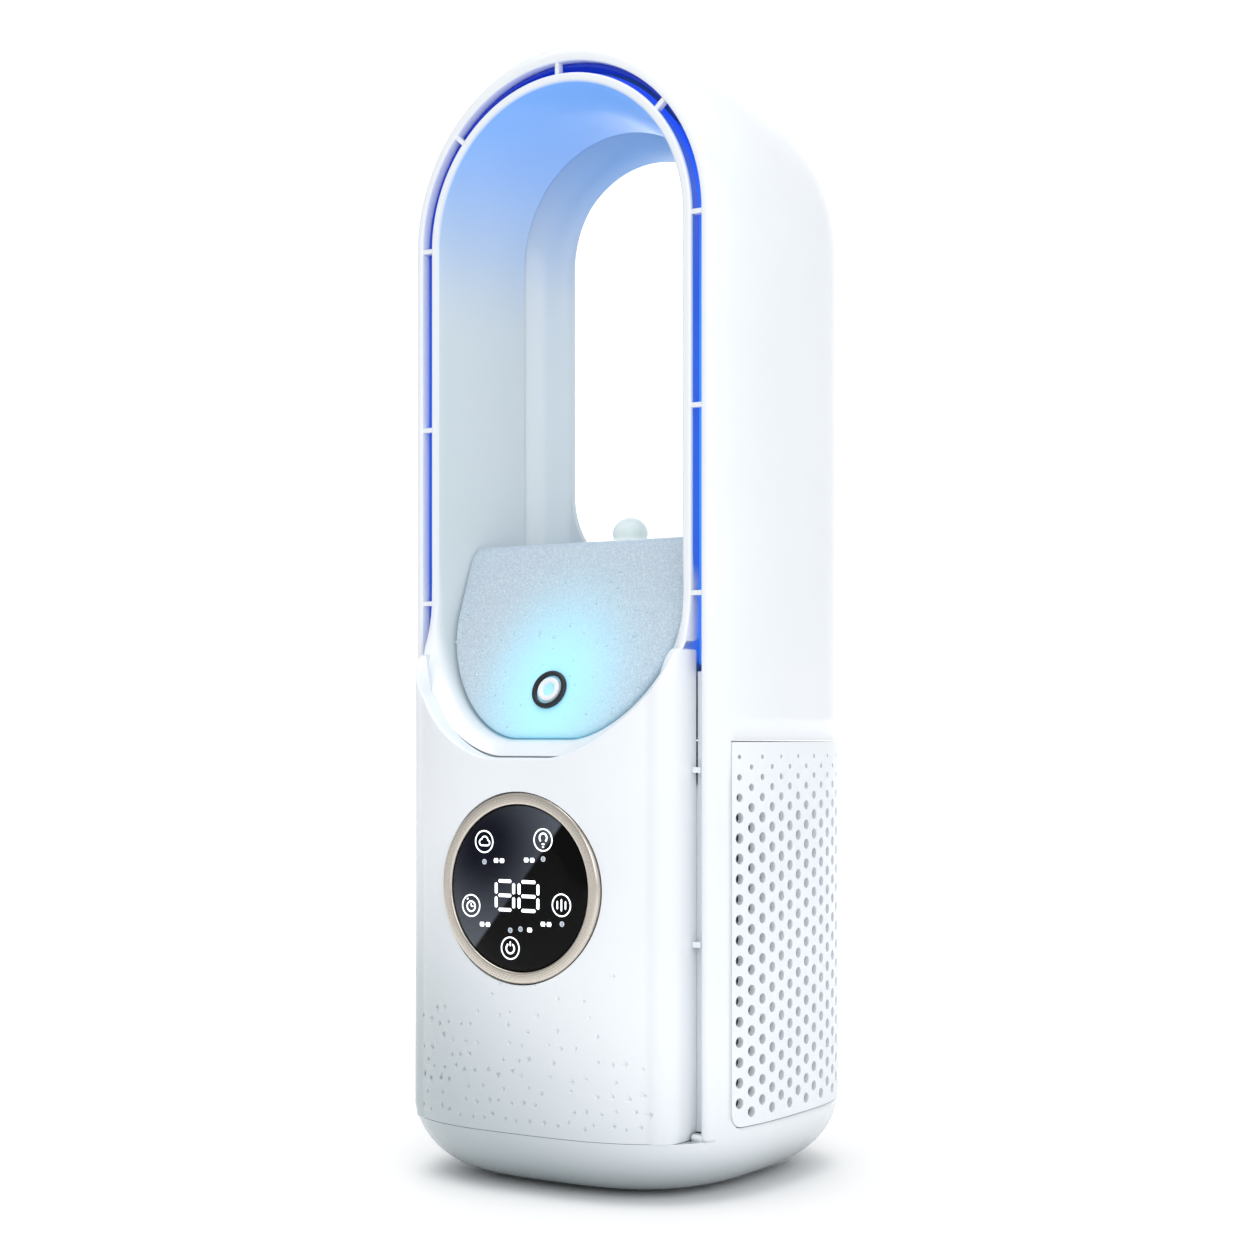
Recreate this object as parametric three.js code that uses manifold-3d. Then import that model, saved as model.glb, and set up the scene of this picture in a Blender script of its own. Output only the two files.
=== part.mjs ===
// A bladeless desktop tower fan with a mist tank, modelled as the pieces it is put together from.
// Millimetres, +Z up. The origin is the middle of the footprint, on the table. The fan blows towards -Y.
import * as THREE from "three";
import { mergeVertices } from "three/addons/utils/BufferGeometryUtils.js";
import Module from "manifold-3d";

const wasm = await Module();
wasm.setup();

// ---- driving dimensions ----
const HALF_WIDTH = 58.3; // the body's widest half, across
const HALF_DEPTH = 58; // the body's deepest half, front to back
const PLAN_EXPONENT = 3; // how square the plan's superellipse is
const ARCH_CENTRE = 278.5; // height where the straight sides end and the arch starts
const CROWN_TOP = 338.7; // highest point of the arch
const BOWL_RADIUS = 22; // round between the wall and the underside
const UNDERSIDE = 1; // the feet hold the body this far off the table
const WALL = 1.7; // shell wall
const GAP = 0.3; // air between two pieces that meet

const LOOP_FRONT = -39; // plane of the air slit
const SLIT_OUTER = 49.5; // radius of the slit's outer edge
const SLIT_INNER = 46.1; // radius of the slit's inner edge
const RIM_DEPTH = 3; // thickness of the shell's front rim
const RING_INNER = 43.4; // radius of the tunnel where it opens at the front
const JOIN_RADIUS = 36.7; // radius of the tunnel where the ring meets the shell's lip
const JOIN_Y = -3.5;
const THROAT_RADIUS = 31.3; // narrowest radius of the tunnel
const THROAT_Y = 16.7;
const THROAT_RISE = 2.5; // how much higher the arch is centred at the throat
const REAR_Y = 42.4; // where the rear flare runs out into the outer surface
const REAR_RADIUS = 50.9;
const TUNNEL_WALL = 1.8;
const TUNNEL_FLOOR = 130.3; // the tunnel's floor, which the tank stands on
const FLOOR_FLAT = 10; // half width of the flat part of the floor
const SILL_RISE = 37.7; // height over which the floor curves up into the sides
const SILL_EXPONENT = 1.75;
const SWEEP_TOP = 171.5; // below this height the ring leans forward to the panel
const SILL_LEAN = 8.4; // how far forward the ring's inner edge leans at the floor

const PANEL_BOTTOM = 18;
const PANEL_WALL = 2.4;
const PANEL_EDGE_ROUND = 7; // round down the panel's two long edges
const SEAM_DROP = 4.9; // from the tunnel's floor down to the seam's lowest point
const SEAM_BOTTOM = TUNNEL_FLOOR - SEAM_DROP; // the seam between the panel and the ring
const SEAM_RISE = 32.6;
const SEAM_EXPONENT = 1.6;
const SEAM_SETBACK = 4.5; // the ring's edge lies this far behind the panel's face
const FRAME_FRONT = -35.4; // floor of the two grooves beside the panel
const FRAME_THICKNESS = 2;
const GROOVE_BOTTOM = 19.6;
const SLIT_BOTTOM = 149.5;

const RIB = 1.6; // thickness of the small ribs across the slit
const RIB_ANGLES = [0, 42, 90, 138, 180];
const RIB_HEIGHTS = [224.2, 171.5];
const GROOVE_RIB_HEIGHTS = [121.8, 72.8];

const GRILLE_FRONT = -31.5;
const GRILLE_BOTTOM = 20.5;
const GRILLE_TOP = 130;
const GRILLE_CORNER = 4;
const GRILLE_WALL = 2;
const FILTER_THICKNESS = 1.5;

const DISPLAY_DROP = 37.5; // from the seam's lowest point down to the display's middle
const DISPLAY_HEIGHT = SEAM_BOTTOM - DISPLAY_DROP;
const BEZEL_RADIUS = 27.3;
const BEZEL_WIDTH = 3.4;
const BEZEL_SETBACK = 0.3; // the bezel's face behind the body's front
const GLASS_SETBACK = 0.5; // the pane's face behind the bezel's
const BEZEL_FRONT = BEZEL_SETBACK - HALF_DEPTH;
const GLASS_FRONT = BEZEL_FRONT + GLASS_SETBACK;
const GLASS_THICKNESS = 1.8;
const KEY_ANGLES = [55, 124, 200, 270, 340];
const KEY_RADIUS = 16.5;

const TANK_TOP = 189.2;
const TANK_WALL = 2;
const TANK_FACE_FOOT = -47; // the tank's sloping face at the tunnel floor
const TANK_LEAN = 20.5; // degrees that the face leans back
const TANK_BACK = 14.4;
const FILLER_Y = 1;
const FILLER_RADIUS = 5.6;
const NOZZLE_HEIGHT = 144.6;
const NOZZLE_RADIUS = 5.85;

const BLOWER_RADIUS = 42.5;
const BLOWER_WALL = 1.6;
const BLOWER_DROP = 81.9; // from the tunnel's floor down to the blower's inlet
const BLOWER_HEIGHT = 47.3;
const BLOWER_BOTTOM = TUNNEL_FLOOR - BLOWER_DROP;
const BLOWER_TOP = BLOWER_BOTTOM + BLOWER_HEIGHT;
const EYE_RADIUS = 27;
const IMPELLER_RADIUS = 38;
const IMPELLER_LIFT = 8.6; // from the blower's inlet up to the impeller
const IMPELLER_HEIGHT = 21;
const IMPELLER_BOTTOM = BLOWER_BOTTOM + IMPELLER_LIFT;
const IMPELLER_TOP = IMPELLER_BOTTOM + IMPELLER_HEIGHT;
const BLADES = 9;
const SHAFT_RADIUS = 1.5;
const MOTOR_RADIUS = 17.2;
const MOTOR_LIFT = 5; // from the impeller up to the motor
const MOTOR_HEIGHT = 25;
const MOTOR_BOTTOM = IMPELLER_TOP + MOTOR_LIFT;
const MOTOR_TOP = MOTOR_BOTTOM + MOTOR_HEIGHT;
const PLATE_HALF = 31.7;
const PLATE_THICKNESS = 2.4;
const POST_CIRCLE = 26;
const FOOT_RADIUS = 4.5;
const FOOT_SPREAD = 20;
const PORT_HEIGHT = 30;

// ---- plain solids ----
const rad = THREE.MathUtils.degToRad;

// A closed surface from rings of points. Each ring holds the same number of points.
function loft(rings, closed = false) {
  const n = rings[0].length;
  const positions = rings.flat().flatMap((p) => [p.x, p.y, p.z]);
  const index = [];
  const last = closed ? rings.length : rings.length - 1;
  for (let i = 0; i < last; i++) {
    const a = i * n;
    const b = ((i + 1) % rings.length) * n;
    for (let j = 0; j < n; j++) {
      const k = (j + 1) % n;
      index.push(a + j, a + k, b + k, a + j, b + k, b + j);
    }
  }
  if (!closed) {
    const flat = (ring) => ring.map((p) => new THREE.Vector2(p.x, p.z));
    const front = THREE.ShapeUtils.triangulateShape(flat(rings[0]), []);
    const back = THREE.ShapeUtils.triangulateShape(flat(rings[rings.length - 1]), []);
    const offset = (rings.length - 1) * n;
    const turned = THREE.ShapeUtils.isClockWise(flat(rings[0]));
    front.forEach(([a, b, c]) => index.push(...(turned ? [a, b, c] : [a, c, b])));
    back.forEach(([a, b, c]) =>
      index.push(...(turned ? [a, c, b] : [a, b, c]).map((v) => v + offset)),
    );
  }
  const geometry = new THREE.BufferGeometry();
  geometry.setAttribute("position", new THREE.Float32BufferAttribute(positions, 3));
  geometry.setIndex(index);
  return geometry;
}

// A manifold-3d solid from a closed three.js geometry.
function solid(geometry) {
  geometry.deleteAttribute("normal");
  geometry.deleteAttribute("uv");
  const merged = mergeVertices(geometry, 1e-4);
  const triVerts = new Uint32Array(merged.index.array);
  const vertProperties = new Float32Array(merged.attributes.position.array);
  const made = new wasm.Manifold(new wasm.Mesh({ numProp: 3, vertProperties, triVerts }));
  if (made.volume() > 0) return made;
  triVerts.reverse();
  return new wasm.Manifold(new wasm.Mesh({ numProp: 3, vertProperties, triVerts }));
}

function box(low, high) {
  const size = high.map((v, i) => v - low[i]);
  const geometry = new THREE.BoxGeometry(...size);
  geometry.translate(...low.map((v, i) => v + size[i] / 2));
  return solid(geometry);
}

// An upright cylinder or cone between two heights.
function post(x, y, radius, bottom, top, sides = 24, topRadius = radius) {
  const geometry = new THREE.CylinderGeometry(topRadius, radius, top - bottom, sides);
  geometry.rotateX(Math.PI / 2);
  geometry.translate(x, y, (bottom + top) / 2);
  return solid(geometry);
}

// A disc that faces the front, between two depths.
function disc(x, z, radius, front, back, sides = 40) {
  const geometry = new THREE.CylinderGeometry(radius, radius, back - front, sides);
  geometry.translate(x, (front + back) / 2, z);
  return solid(geometry);
}

// A body of revolution about the fan's upright axis. The profile closes on itself.
function turned(profile, sides = 40) {
  const points = [...profile, profile[0]].map(([r, z]) => new THREE.Vector2(r, z));
  const geometry = new THREE.LatheGeometry(points, sides);
  geometry.rotateX(Math.PI / 2);
  return solid(geometry);
}

// An outline in plan, pulled up between two heights.
function prismUp(outline, bottom, top) {
  const shape = new THREE.Shape(outline.map(([x, y]) => new THREE.Vector2(x, y)));
  const geometry = new THREE.ExtrudeGeometry(shape, { depth: top - bottom, bevelEnabled: false });
  geometry.translate(0, 0, bottom);
  return solid(geometry);
}

// An outline seen from the front, pulled back between two depths.
function prismBack(outline, front, back) {
  const shape = new THREE.Shape(outline.map(([x, z]) => new THREE.Vector2(x, z)));
  const geometry = new THREE.ExtrudeGeometry(shape, { depth: back - front, bevelEnabled: false });
  geometry.rotateX(Math.PI / 2);
  geometry.translate(0, back, 0);
  return solid(geometry);
}

// An outline seen from the right, pulled across the whole width.
function prismAcross(outline) {
  const span = 4 * HALF_WIDTH;
  const shape = new THREE.Shape(outline.map(([y, z]) => new THREE.Vector2(y, z)));
  const geometry = new THREE.ExtrudeGeometry(shape, { depth: span, bevelEnabled: false });
  geometry.rotateX(Math.PI / 2);
  geometry.rotateZ(Math.PI / 2);
  geometry.translate(-span / 2, 0, 0);
  return solid(geometry);
}

const unionOf = (solids) => solids.reduce((sum, s) => sum.add(s));

// ---- the body's outer form ----
const planHalf = (y, w, d) => {
  const share = 1 - (Math.abs(y) / d) ** PLAN_EXPONENT;
  return share > 0 ? w * share ** (1 / PLAN_EXPONENT) : 0;
};

function planOutline(w, d, steps = 64) {
  const power = 2 / PLAN_EXPONENT;
  return Array.from({ length: steps }, (_, i) => {
    const a = (2 * Math.PI * (i + 0.5)) / steps;
    const c = Math.cos(a);
    const s = Math.sin(a);
    return [w * Math.sign(c) * Math.abs(c) ** power, d * Math.sign(s) * Math.abs(s) ** power];
  });
}

// The whole outer form, moved in by an offset: a superellipse tube, a bowl below and an arch above.
function outerForm(offset, slices = 20, bowlSteps = 4, archSteps = 9) {
  const w = HALF_WIDTH - offset;
  const d = HALF_DEPTH - offset;
  const bowl = BOWL_RADIUS - offset;
  const bottom = UNDERSIDE + offset;
  const archRise = (CROWN_TOP - offset - ARCH_CENTRE) / w;
  const endAngle = rad(87);
  const rings = [];
  for (let i = 0; i <= slices; i++) {
    const a = -endAngle + (2 * endAngle * i) / slices;
    const y = d * Math.sign(a) * Math.abs(Math.sin(a)) ** (2 / PLAN_EXPONENT);
    const reach = d - Math.abs(y);
    const start = reach >= bowl ? 0 : Math.asin(1 - reach / bowl);
    const right = [];
    for (let j = 0; j <= bowlSteps; j++) {
      const b = start + ((Math.PI / 2 - start) * j) / bowlSteps;
      const inset = bowl * (1 - Math.sin(b));
      right.push([Math.max(planHalf(y, w - inset, d - inset), 0.3), bottom + bowl * (1 - Math.cos(b))]);
    }
    const r = planHalf(y, w, d);
    right.push([r, (bottom + bowl + ARCH_CENTRE) / 2]);
    for (let j = 0; j < archSteps; j++) {
      const b = (Math.PI * j) / (2 * archSteps);
      right.push([r * Math.cos(b), ARCH_CENTRE + archRise * r * Math.sin(b)]);
    }
    const left = right.map(([x, z]) => [-x, z]).reverse();
    const outline = [...right, [0, ARCH_CENTRE + archRise * r], ...left];
    rings.push(outline.map(([x, z]) => new THREE.Vector3(x, y, z)));
  }
  return solid(loft(rings));
}

// ---- the loop's outlines, seen from the front ----
// Each outline runs from the middle of the sill up the right side, over the arch and down the left.
function loopOutline({ radius, centre = ARCH_CENTRE, bottom, rise, exponent, archSteps = 10 }) {
  const sillSteps = 9;
  const right = [[FLOOR_FLAT, bottom]];
  for (let i = 1; i <= sillSteps; i++) {
    const a = (Math.PI * i) / (2 * sillSteps);
    const x = FLOOR_FLAT + (radius - FLOOR_FLAT) * Math.sin(a) ** (2 / exponent);
    const z = bottom + rise * (1 - Math.cos(a) ** (2 / exponent));
    right.push([x, z]);
  }
  const top = right[right.length - 1][1];
  const straightEnd = Math.max(SWEEP_TOP + 6, top + 12);
  [0.4, 0.75, 1].forEach((share) => right.push([radius, top + (straightEnd - top) * share]));
  for (let i = 0; i < archSteps; i++) {
    const a = (Math.PI * i) / (2 * archSteps);
    right.push([radius * Math.cos(a), centre + radius * Math.sin(a)]);
  }
  const left = right.map(([x, z]) => [-x, z]).reverse();
  return [[0, bottom], ...right, [0, centre + radius], ...left];
}

const sillOutline = (radius, grow = 0, centre = ARCH_CENTRE) =>
  loopOutline({
    radius: radius + grow,
    centre,
    bottom: TUNNEL_FLOOR - grow,
    rise: SILL_RISE + grow,
    exponent: SILL_EXPONENT,
  });

const seamOutline = (radius, lower = 0) =>
  loopOutline({
    radius,
    bottom: SEAM_BOTTOM - lower,
    rise: SEAM_RISE + lower,
    exponent: SEAM_EXPONENT,
  });

const leanShare = (z, top, height) => THREE.MathUtils.clamp((top - z) / height, 0, 1) ** 2;

// Depth of the ring's inner edge and of its outer edge.
const innerEdgeY = (z) =>
  LOOP_FRONT - SILL_LEAN * leanShare(z, SWEEP_TOP, SWEEP_TOP - TUNNEL_FLOOR);

function outerEdgeY(x, z) {
  const seamTop = SEAM_BOTTOM + SEAM_RISE;
  const onSeam = -(HALF_DEPTH - SEAM_SETBACK) * planHalf(Math.min(Math.abs(x), 44), 1, HALF_WIDTH);
  if (z <= seamTop - 4) return onSeam;
  return LOOP_FRONT + (onSeam - LOOP_FRONT) * leanShare(z, SWEEP_TOP, SWEEP_TOP - seamTop + 4);
}

const tunnelRadius = (y) =>
  y < JOIN_Y
    ? RING_INNER + ((JOIN_RADIUS - RING_INNER) * (y - LOOP_FRONT)) / (JOIN_Y - LOOP_FRONT)
    : JOIN_RADIUS + ((THROAT_RADIUS - JOIN_RADIUS) * (y - JOIN_Y)) / (THROAT_Y - JOIN_Y);

// ---- ring: the tunnel's front half with the slit's inner edge ----
function nozzleRing() {
  const inner = sillOutline(RING_INNER);
  const outer = seamOutline(SLIT_INNER);
  const flange = seamOutline(SLIT_INNER, 3.5);
  const rearOuter = sillOutline(JOIN_RADIUS, TUNNEL_WALL);
  const rearInner = sillOutline(JOIN_RADIUS);
  const behindPanel = SLIT_INNER - PANEL_WALL - 2 * GAP;
  const flangeX = ([x], z) =>
    z < SEAM_BOTTOM + SEAM_RISE ? Math.sign(x) * Math.min(Math.abs(x), behindPanel) : x;
  const stations = inner.map((_, i) => {
    const [xa, za] = inner[i];
    const [xb, zb] = outer[i];
    const xf = flangeX(flange[i], zb);
    const zf = flange[i][1];
    const yb = outerEdgeY(xb, zb);
    const flangeY = zb > SLIT_BOTTOM ? Math.max(yb, LOOP_FRONT) + 2.5 : yb + 2.5;
    return [
      new THREE.Vector3(xa, innerEdgeY(za), za),
      new THREE.Vector3(xb, yb, zb),
      new THREE.Vector3(xf, yb + GAP, zf),
      new THREE.Vector3(xf, flangeY, zf),
      new THREE.Vector3(rearOuter[i][0], JOIN_Y, rearOuter[i][1]),
      new THREE.Vector3(rearInner[i][0], JOIN_Y, rearInner[i][1]),
    ];
  });
  const ribLength = SLIT_OUTER - GAP - SLIT_INNER + 1;
  const ribGeometry = () => new THREE.BoxGeometry(ribLength, 2.4, RIB);
  const ribMiddle = SLIT_OUTER - GAP - ribLength / 2;
  const archRibs = RIB_ANGLES.map((angle) => {
    const geometry = ribGeometry();
    geometry.translate(ribMiddle, LOOP_FRONT + 1.6, 0);
    geometry.rotateY(-rad(angle));
    geometry.translate(0, 0, ARCH_CENTRE);
    return solid(geometry);
  });
  const sideRibs = RIB_HEIGHTS.flatMap((z) =>
    [-1, 1].map((side) => {
      const geometry = ribGeometry();
      geometry.translate(side * ribMiddle, LOOP_FRONT + 1.6, z);
      return solid(geometry);
    }),
  );
  const lampPocket = box([-15, -41, TUNNEL_FLOOR - 2], [15, -31, TUNNEL_FLOOR + 2]);
  return unionOf([solid(loft(stations, true)), ...archRibs, ...sideRibs]).subtract(lampPocket);
}

// ---- shell: outer walls, arch, bowl and front rim ----
const grilleOutline = (grow) => {
  const front = GRILLE_FRONT - grow;
  const low = GRILLE_BOTTOM - grow;
  const r = GRILLE_CORNER;
  const corner = [0, 1, 2, 3, 4].map((i) => {
    const a = Math.PI + (Math.PI * i) / 8;
    return [front + r + r * Math.cos(a), low + r + r * Math.sin(a)];
  });
  const back = 2 * HALF_DEPTH;
  return [...corner, [back, low], [back, GRILLE_TOP + grow], [front, GRILLE_TOP + grow]];
};

// The tunnel behind the ring: first the bay that the tank stands in, then the flare.
function rearTunnel(grow) {
  const bayEnd = TANK_BACK + 2 * GAP;
  const ringAt = (outline, y) => outline.map(([x, z]) => new THREE.Vector3(x, y, z));
  const bay = [JOIN_Y + GAP - 0.01, bayEnd + grow].map((y) =>
    ringAt(sillOutline(tunnelRadius(Math.min(y, THROAT_Y)), grow), y),
  );
  const sill = (y) => TANK_TOP - 5 - 0.55 * Math.max(y - THROAT_Y, 0) ** 1.05;
  const flareAt = (radius, y, centre) => {
    const bottom = sill(y) - grow;
    return ringAt(
      loopOutline({ radius: radius + grow, centre, bottom, rise: 24 + grow, exponent: 2 }),
      y,
    );
  };
  const flare = [flareAt(tunnelRadius(bayEnd), bayEnd - 0.5, ARCH_CENTRE + THROAT_RISE)];
  for (let i = 0; i <= 6; i++) {
    const share = i / 6;
    const radius = THROAT_RADIUS + (REAR_RADIUS - THROAT_RADIUS) * share;
    const y = THROAT_Y + (REAR_Y - THROAT_Y) * share;
    flare.push(flareAt(radius, y, ARCH_CENTRE + THROAT_RISE * (1 - share)));
  }
  flare.push(flareAt(REAR_RADIUS, 2 * HALF_DEPTH, ARCH_CENTRE));
  return solid(loft(bay)).add(solid(loft(flare)));
}

const archPrism = (radius, bottom, front, back) => {
  const steps = 24;
  const arch = Array.from({ length: steps + 1 }, (_, i) => {
    const a = (Math.PI * i) / steps;
    return [radius * Math.cos(a), ARCH_CENTRE + radius * Math.sin(a)];
  });
  return prismBack([...arch, [-radius, bottom], [radius, bottom]], front, back);
};

function outerShell() {
  const far = 2 * HALF_DEPTH;
  const form = outerForm(0);
  const panelRoom = box([-far, -far, PANEL_BOTTOM - GAP], [far, LOOP_FRONT, 2 * CROWN_TOP]);
  const rimSlab = box([-far, LOOP_FRONT, 0], [far, LOOP_FRONT + RIM_DEPTH, 2 * CROWN_TOP]);
  const opening = archPrism(SLIT_OUTER, GROOVE_BOTTOM, -far, LOOP_FRONT + RIM_DEPTH);
  const panelSeat = box(
    [-SLIT_INNER - GAP, -far, PANEL_BOTTOM - GAP],
    [SLIT_INNER + GAP, LOOP_FRONT + RIM_DEPTH, GROOVE_BOTTOM + 1],
  );
  const hatch = prismUp(planOutline(PLATE_HALF + GAP, PLATE_HALF + GAP), -1, 10);
  return form
    .subtract(outerForm(WALL))
    .subtract(panelRoom)
    .add(form.intersect(rimSlab).subtract(opening).subtract(panelSeat))
    .subtract(rearTunnel(TUNNEL_WALL + GAP))
    .subtract(prismAcross(grilleOutline(0)))
    .subtract(hatch);
}

// The lining of the tunnel's rear half: the bay for the tank and the flared mouth at the back.
function rearDuct() {
  const far = 2 * HALF_DEPTH;
  const behindRing = box([-far, JOIN_Y + GAP, 0], [far, far, 2 * CROWN_TOP]);
  return rearTunnel(TUNNEL_WALL)
    .intersect(behindRing)
    .intersect(outerForm(0))
    .subtract(rearTunnel(0));
}

// ---- panel and the frame behind it ----
function panelPlan(offset) {
  const side = SLIT_INNER - offset;
  const roundStart = SLIT_INNER - 0.9 * PANEL_EDGE_ROUND;
  const frontY = (x) => -(HALF_DEPTH - offset) * planHalf(x, 1, HALF_WIDTH - offset);
  const right = [0, 0.25, 0.5, 0.75, 1].map((share) => [roundStart * share, frontY(roundStart * share)]);
  const [x0, y0] = right.pop();
  const y1 = y0 + PANEL_EDGE_ROUND;
  for (let i = 0; i <= 6; i++) {
    const a = (Math.PI * i) / 12;
    right.push([x0 + (side - x0) * Math.sin(a), y1 + (y0 - y1) * Math.cos(a)]);
  }
  return right;
}

function frontPanel() {
  const back = FRAME_FRONT - GAP;
  const outer = panelPlan(0);
  const inner = panelPlan(PANEL_WALL);
  const half = [...outer, [SLIT_INNER, back], [SLIT_INNER - PANEL_WALL, back], ...inner.reverse()];
  const mirrored = half
    .slice(1, -1)
    .map(([x, y]) => [-x, y])
    .reverse();
  const wall = prismUp([...half, ...mirrored], PANEL_BOTTOM, SEAM_BOTTOM + SEAM_RISE);
  const seam = seamOutline(SLIT_INNER + GAP, GAP);
  const aboveSeam = prismBack(seam, -2 * HALF_DEPTH, 0);
  const displayHole = disc(0, DISPLAY_HEIGHT, BEZEL_RADIUS + GAP, -2 * HALF_DEPTH, -45, 48);
  return wall.intersect(outerForm(0)).subtract(aboveSeam).subtract(displayHole);
}

function frontFrame() {
  const back = FRAME_FRONT + FRAME_THICKNESS;
  const half = SLIT_OUTER - GAP;
  const strip = SLIT_INNER - 1.5;
  const barTop = SEAM_BOTTOM - 8;
  const low = GROOVE_BOTTOM + GAP;
  const plate = box([-half, FRAME_FRONT, low], [half, back, SLIT_BOTTOM]);
  const middle = box([-strip, FRAME_FRONT - 1, low + 4], [strip, back + 1, barTop - 4]);
  const above = box([-SLIT_INNER - GAP, FRAME_FRONT - 1, barTop], [SLIT_INNER + GAP, back + 1, 200]);
  const ribs = GROOVE_RIB_HEIGHTS.flatMap((z) =>
    [-1, 1].map((side) => {
      const x = [side * (SLIT_INNER + 0.5), side * half].sort((a, b) => a - b);
      return box([x[0], LOOP_FRONT + 0.4, z - RIB / 2], [x[1], FRAME_FRONT + 0.5, z + RIB / 2]);
    }),
  );
  return unionOf([plate.subtract(middle).subtract(above), ...ribs]);
}

// ---- intake ----
const bandOf = (offset, thickness) => outerForm(offset).subtract(outerForm(offset + thickness));

function portBlock(grow, front, back) {
  const w = 5.2 + grow;
  const h = 2.2 + grow;
  return box([-w, front, PORT_HEIGHT - h], [w, back, PORT_HEIGHT + h]);
}

function intakeGrille() {
  return bandOf(0, GRILLE_WALL)
    .intersect(prismAcross(grilleOutline(-GAP)))
    .subtract(portBlock(GAP, 40, 2 * HALF_DEPTH));
}

function dustFilter() {
  const margin = 4;
  const room = box(
    [-HALF_WIDTH, GRILLE_FRONT + margin, GRILLE_BOTTOM + margin],
    [HALF_WIDTH, HALF_DEPTH, GRILLE_TOP - margin],
  );
  return bandOf(GRILLE_WALL + GAP, FILTER_THICKNESS)
    .intersect(room)
    .subtract(portBlock(2, 40, 2 * HALF_DEPTH));
}

const powerPort = () =>
  portBlock(0, HALF_DEPTH - 9, HALF_DEPTH - 0.6).subtract(
    portBlock(-0.8, HALF_DEPTH - 6, 2 * HALF_DEPTH),
  );

// ---- base ----
const postPlaces = [0, 90, 180, 270].map((a) => [
  POST_CIRCLE * Math.cos(rad(a)),
  POST_CIRCLE * Math.sin(rad(a)),
]);
const footPlaces = [-1, 1].flatMap((i) => [-1, 1].map((j) => [i * FOOT_SPREAD, j * FOOT_SPREAD]));
const SCREW_HEAD = 2.5;
const SCREW_SHANK = 1.2;
const HEAD_TOP = UNDERSIDE + 1.6;

function basePlate() {
  const plate = prismUp(planOutline(PLATE_HALF, PLATE_HALF, 48), UNDERSIDE, UNDERSIDE + PLATE_THICKNESS);
  const pockets = footPlaces.map(([x, y]) => post(x, y, FOOT_RADIUS + GAP, 0, UNDERSIDE + 1.2 + GAP, 16));
  const heads = postPlaces.map(([x, y]) => post(x, y, SCREW_HEAD + GAP, 0, HEAD_TOP + GAP, 12));
  const holes = postPlaces.map(([x, y]) => post(x, y, SCREW_SHANK + GAP, 0, 10, 8));
  return plate.subtract(unionOf([...pockets, ...heads, ...holes]));
}

const foot = ([x, y]) => post(x, y, FOOT_RADIUS, 0, UNDERSIDE + 1.2, 16);

const screw = ([x, y]) =>
  post(x, y, SCREW_HEAD, UNDERSIDE + 0.2, HEAD_TOP, 12).add(
    post(x, y, SCREW_SHANK, HEAD_TOP - 0.5, UNDERSIDE + 11, 8),
  );

function blowerStand() {
  const top = BLOWER_BOTTOM - GAP;
  const ring = turned(
    [
      [EYE_RADIUS - 3, top - 4],
      [EYE_RADIUS + 3, top - 4],
      [EYE_RADIUS + 3, top],
      [EYE_RADIUS - 3, top],
    ],
    32,
  );
  const posts = postPlaces.map(([x, y]) => post(x, y, 3, UNDERSIDE + PLATE_THICKNESS + GAP, top - 2, 12));
  const bores = postPlaces.map(([x, y]) => post(x, y, SCREW_SHANK + GAP, 0, UNDERSIDE + 13, 8));
  return unionOf([ring, ...posts]).subtract(unionOf(bores));
}

// ---- blower ----
function blowerHousing() {
  const inner = BLOWER_RADIUS - BLOWER_WALL;
  return turned([
    [EYE_RADIUS, BLOWER_BOTTOM],
    [EYE_RADIUS + 2, BLOWER_BOTTOM],
    [EYE_RADIUS + 4, BLOWER_BOTTOM + 5],
    [EYE_RADIUS + 9, BLOWER_BOTTOM + 9],
    [BLOWER_RADIUS - 2, BLOWER_BOTTOM + 13],
    [BLOWER_RADIUS, BLOWER_BOTTOM + 18],
    [BLOWER_RADIUS, BLOWER_TOP],
    [inner, BLOWER_TOP],
    [inner, BLOWER_BOTTOM + 18.5],
    [inner - 2, BLOWER_BOTTOM + 14.4],
    [EYE_RADIUS + 8.2, BLOWER_BOTTOM + 10.6],
    [EYE_RADIUS + 2.4, BLOWER_BOTTOM + 6],
    [EYE_RADIUS, BLOWER_BOTTOM + 2],
  ]);
}

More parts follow.
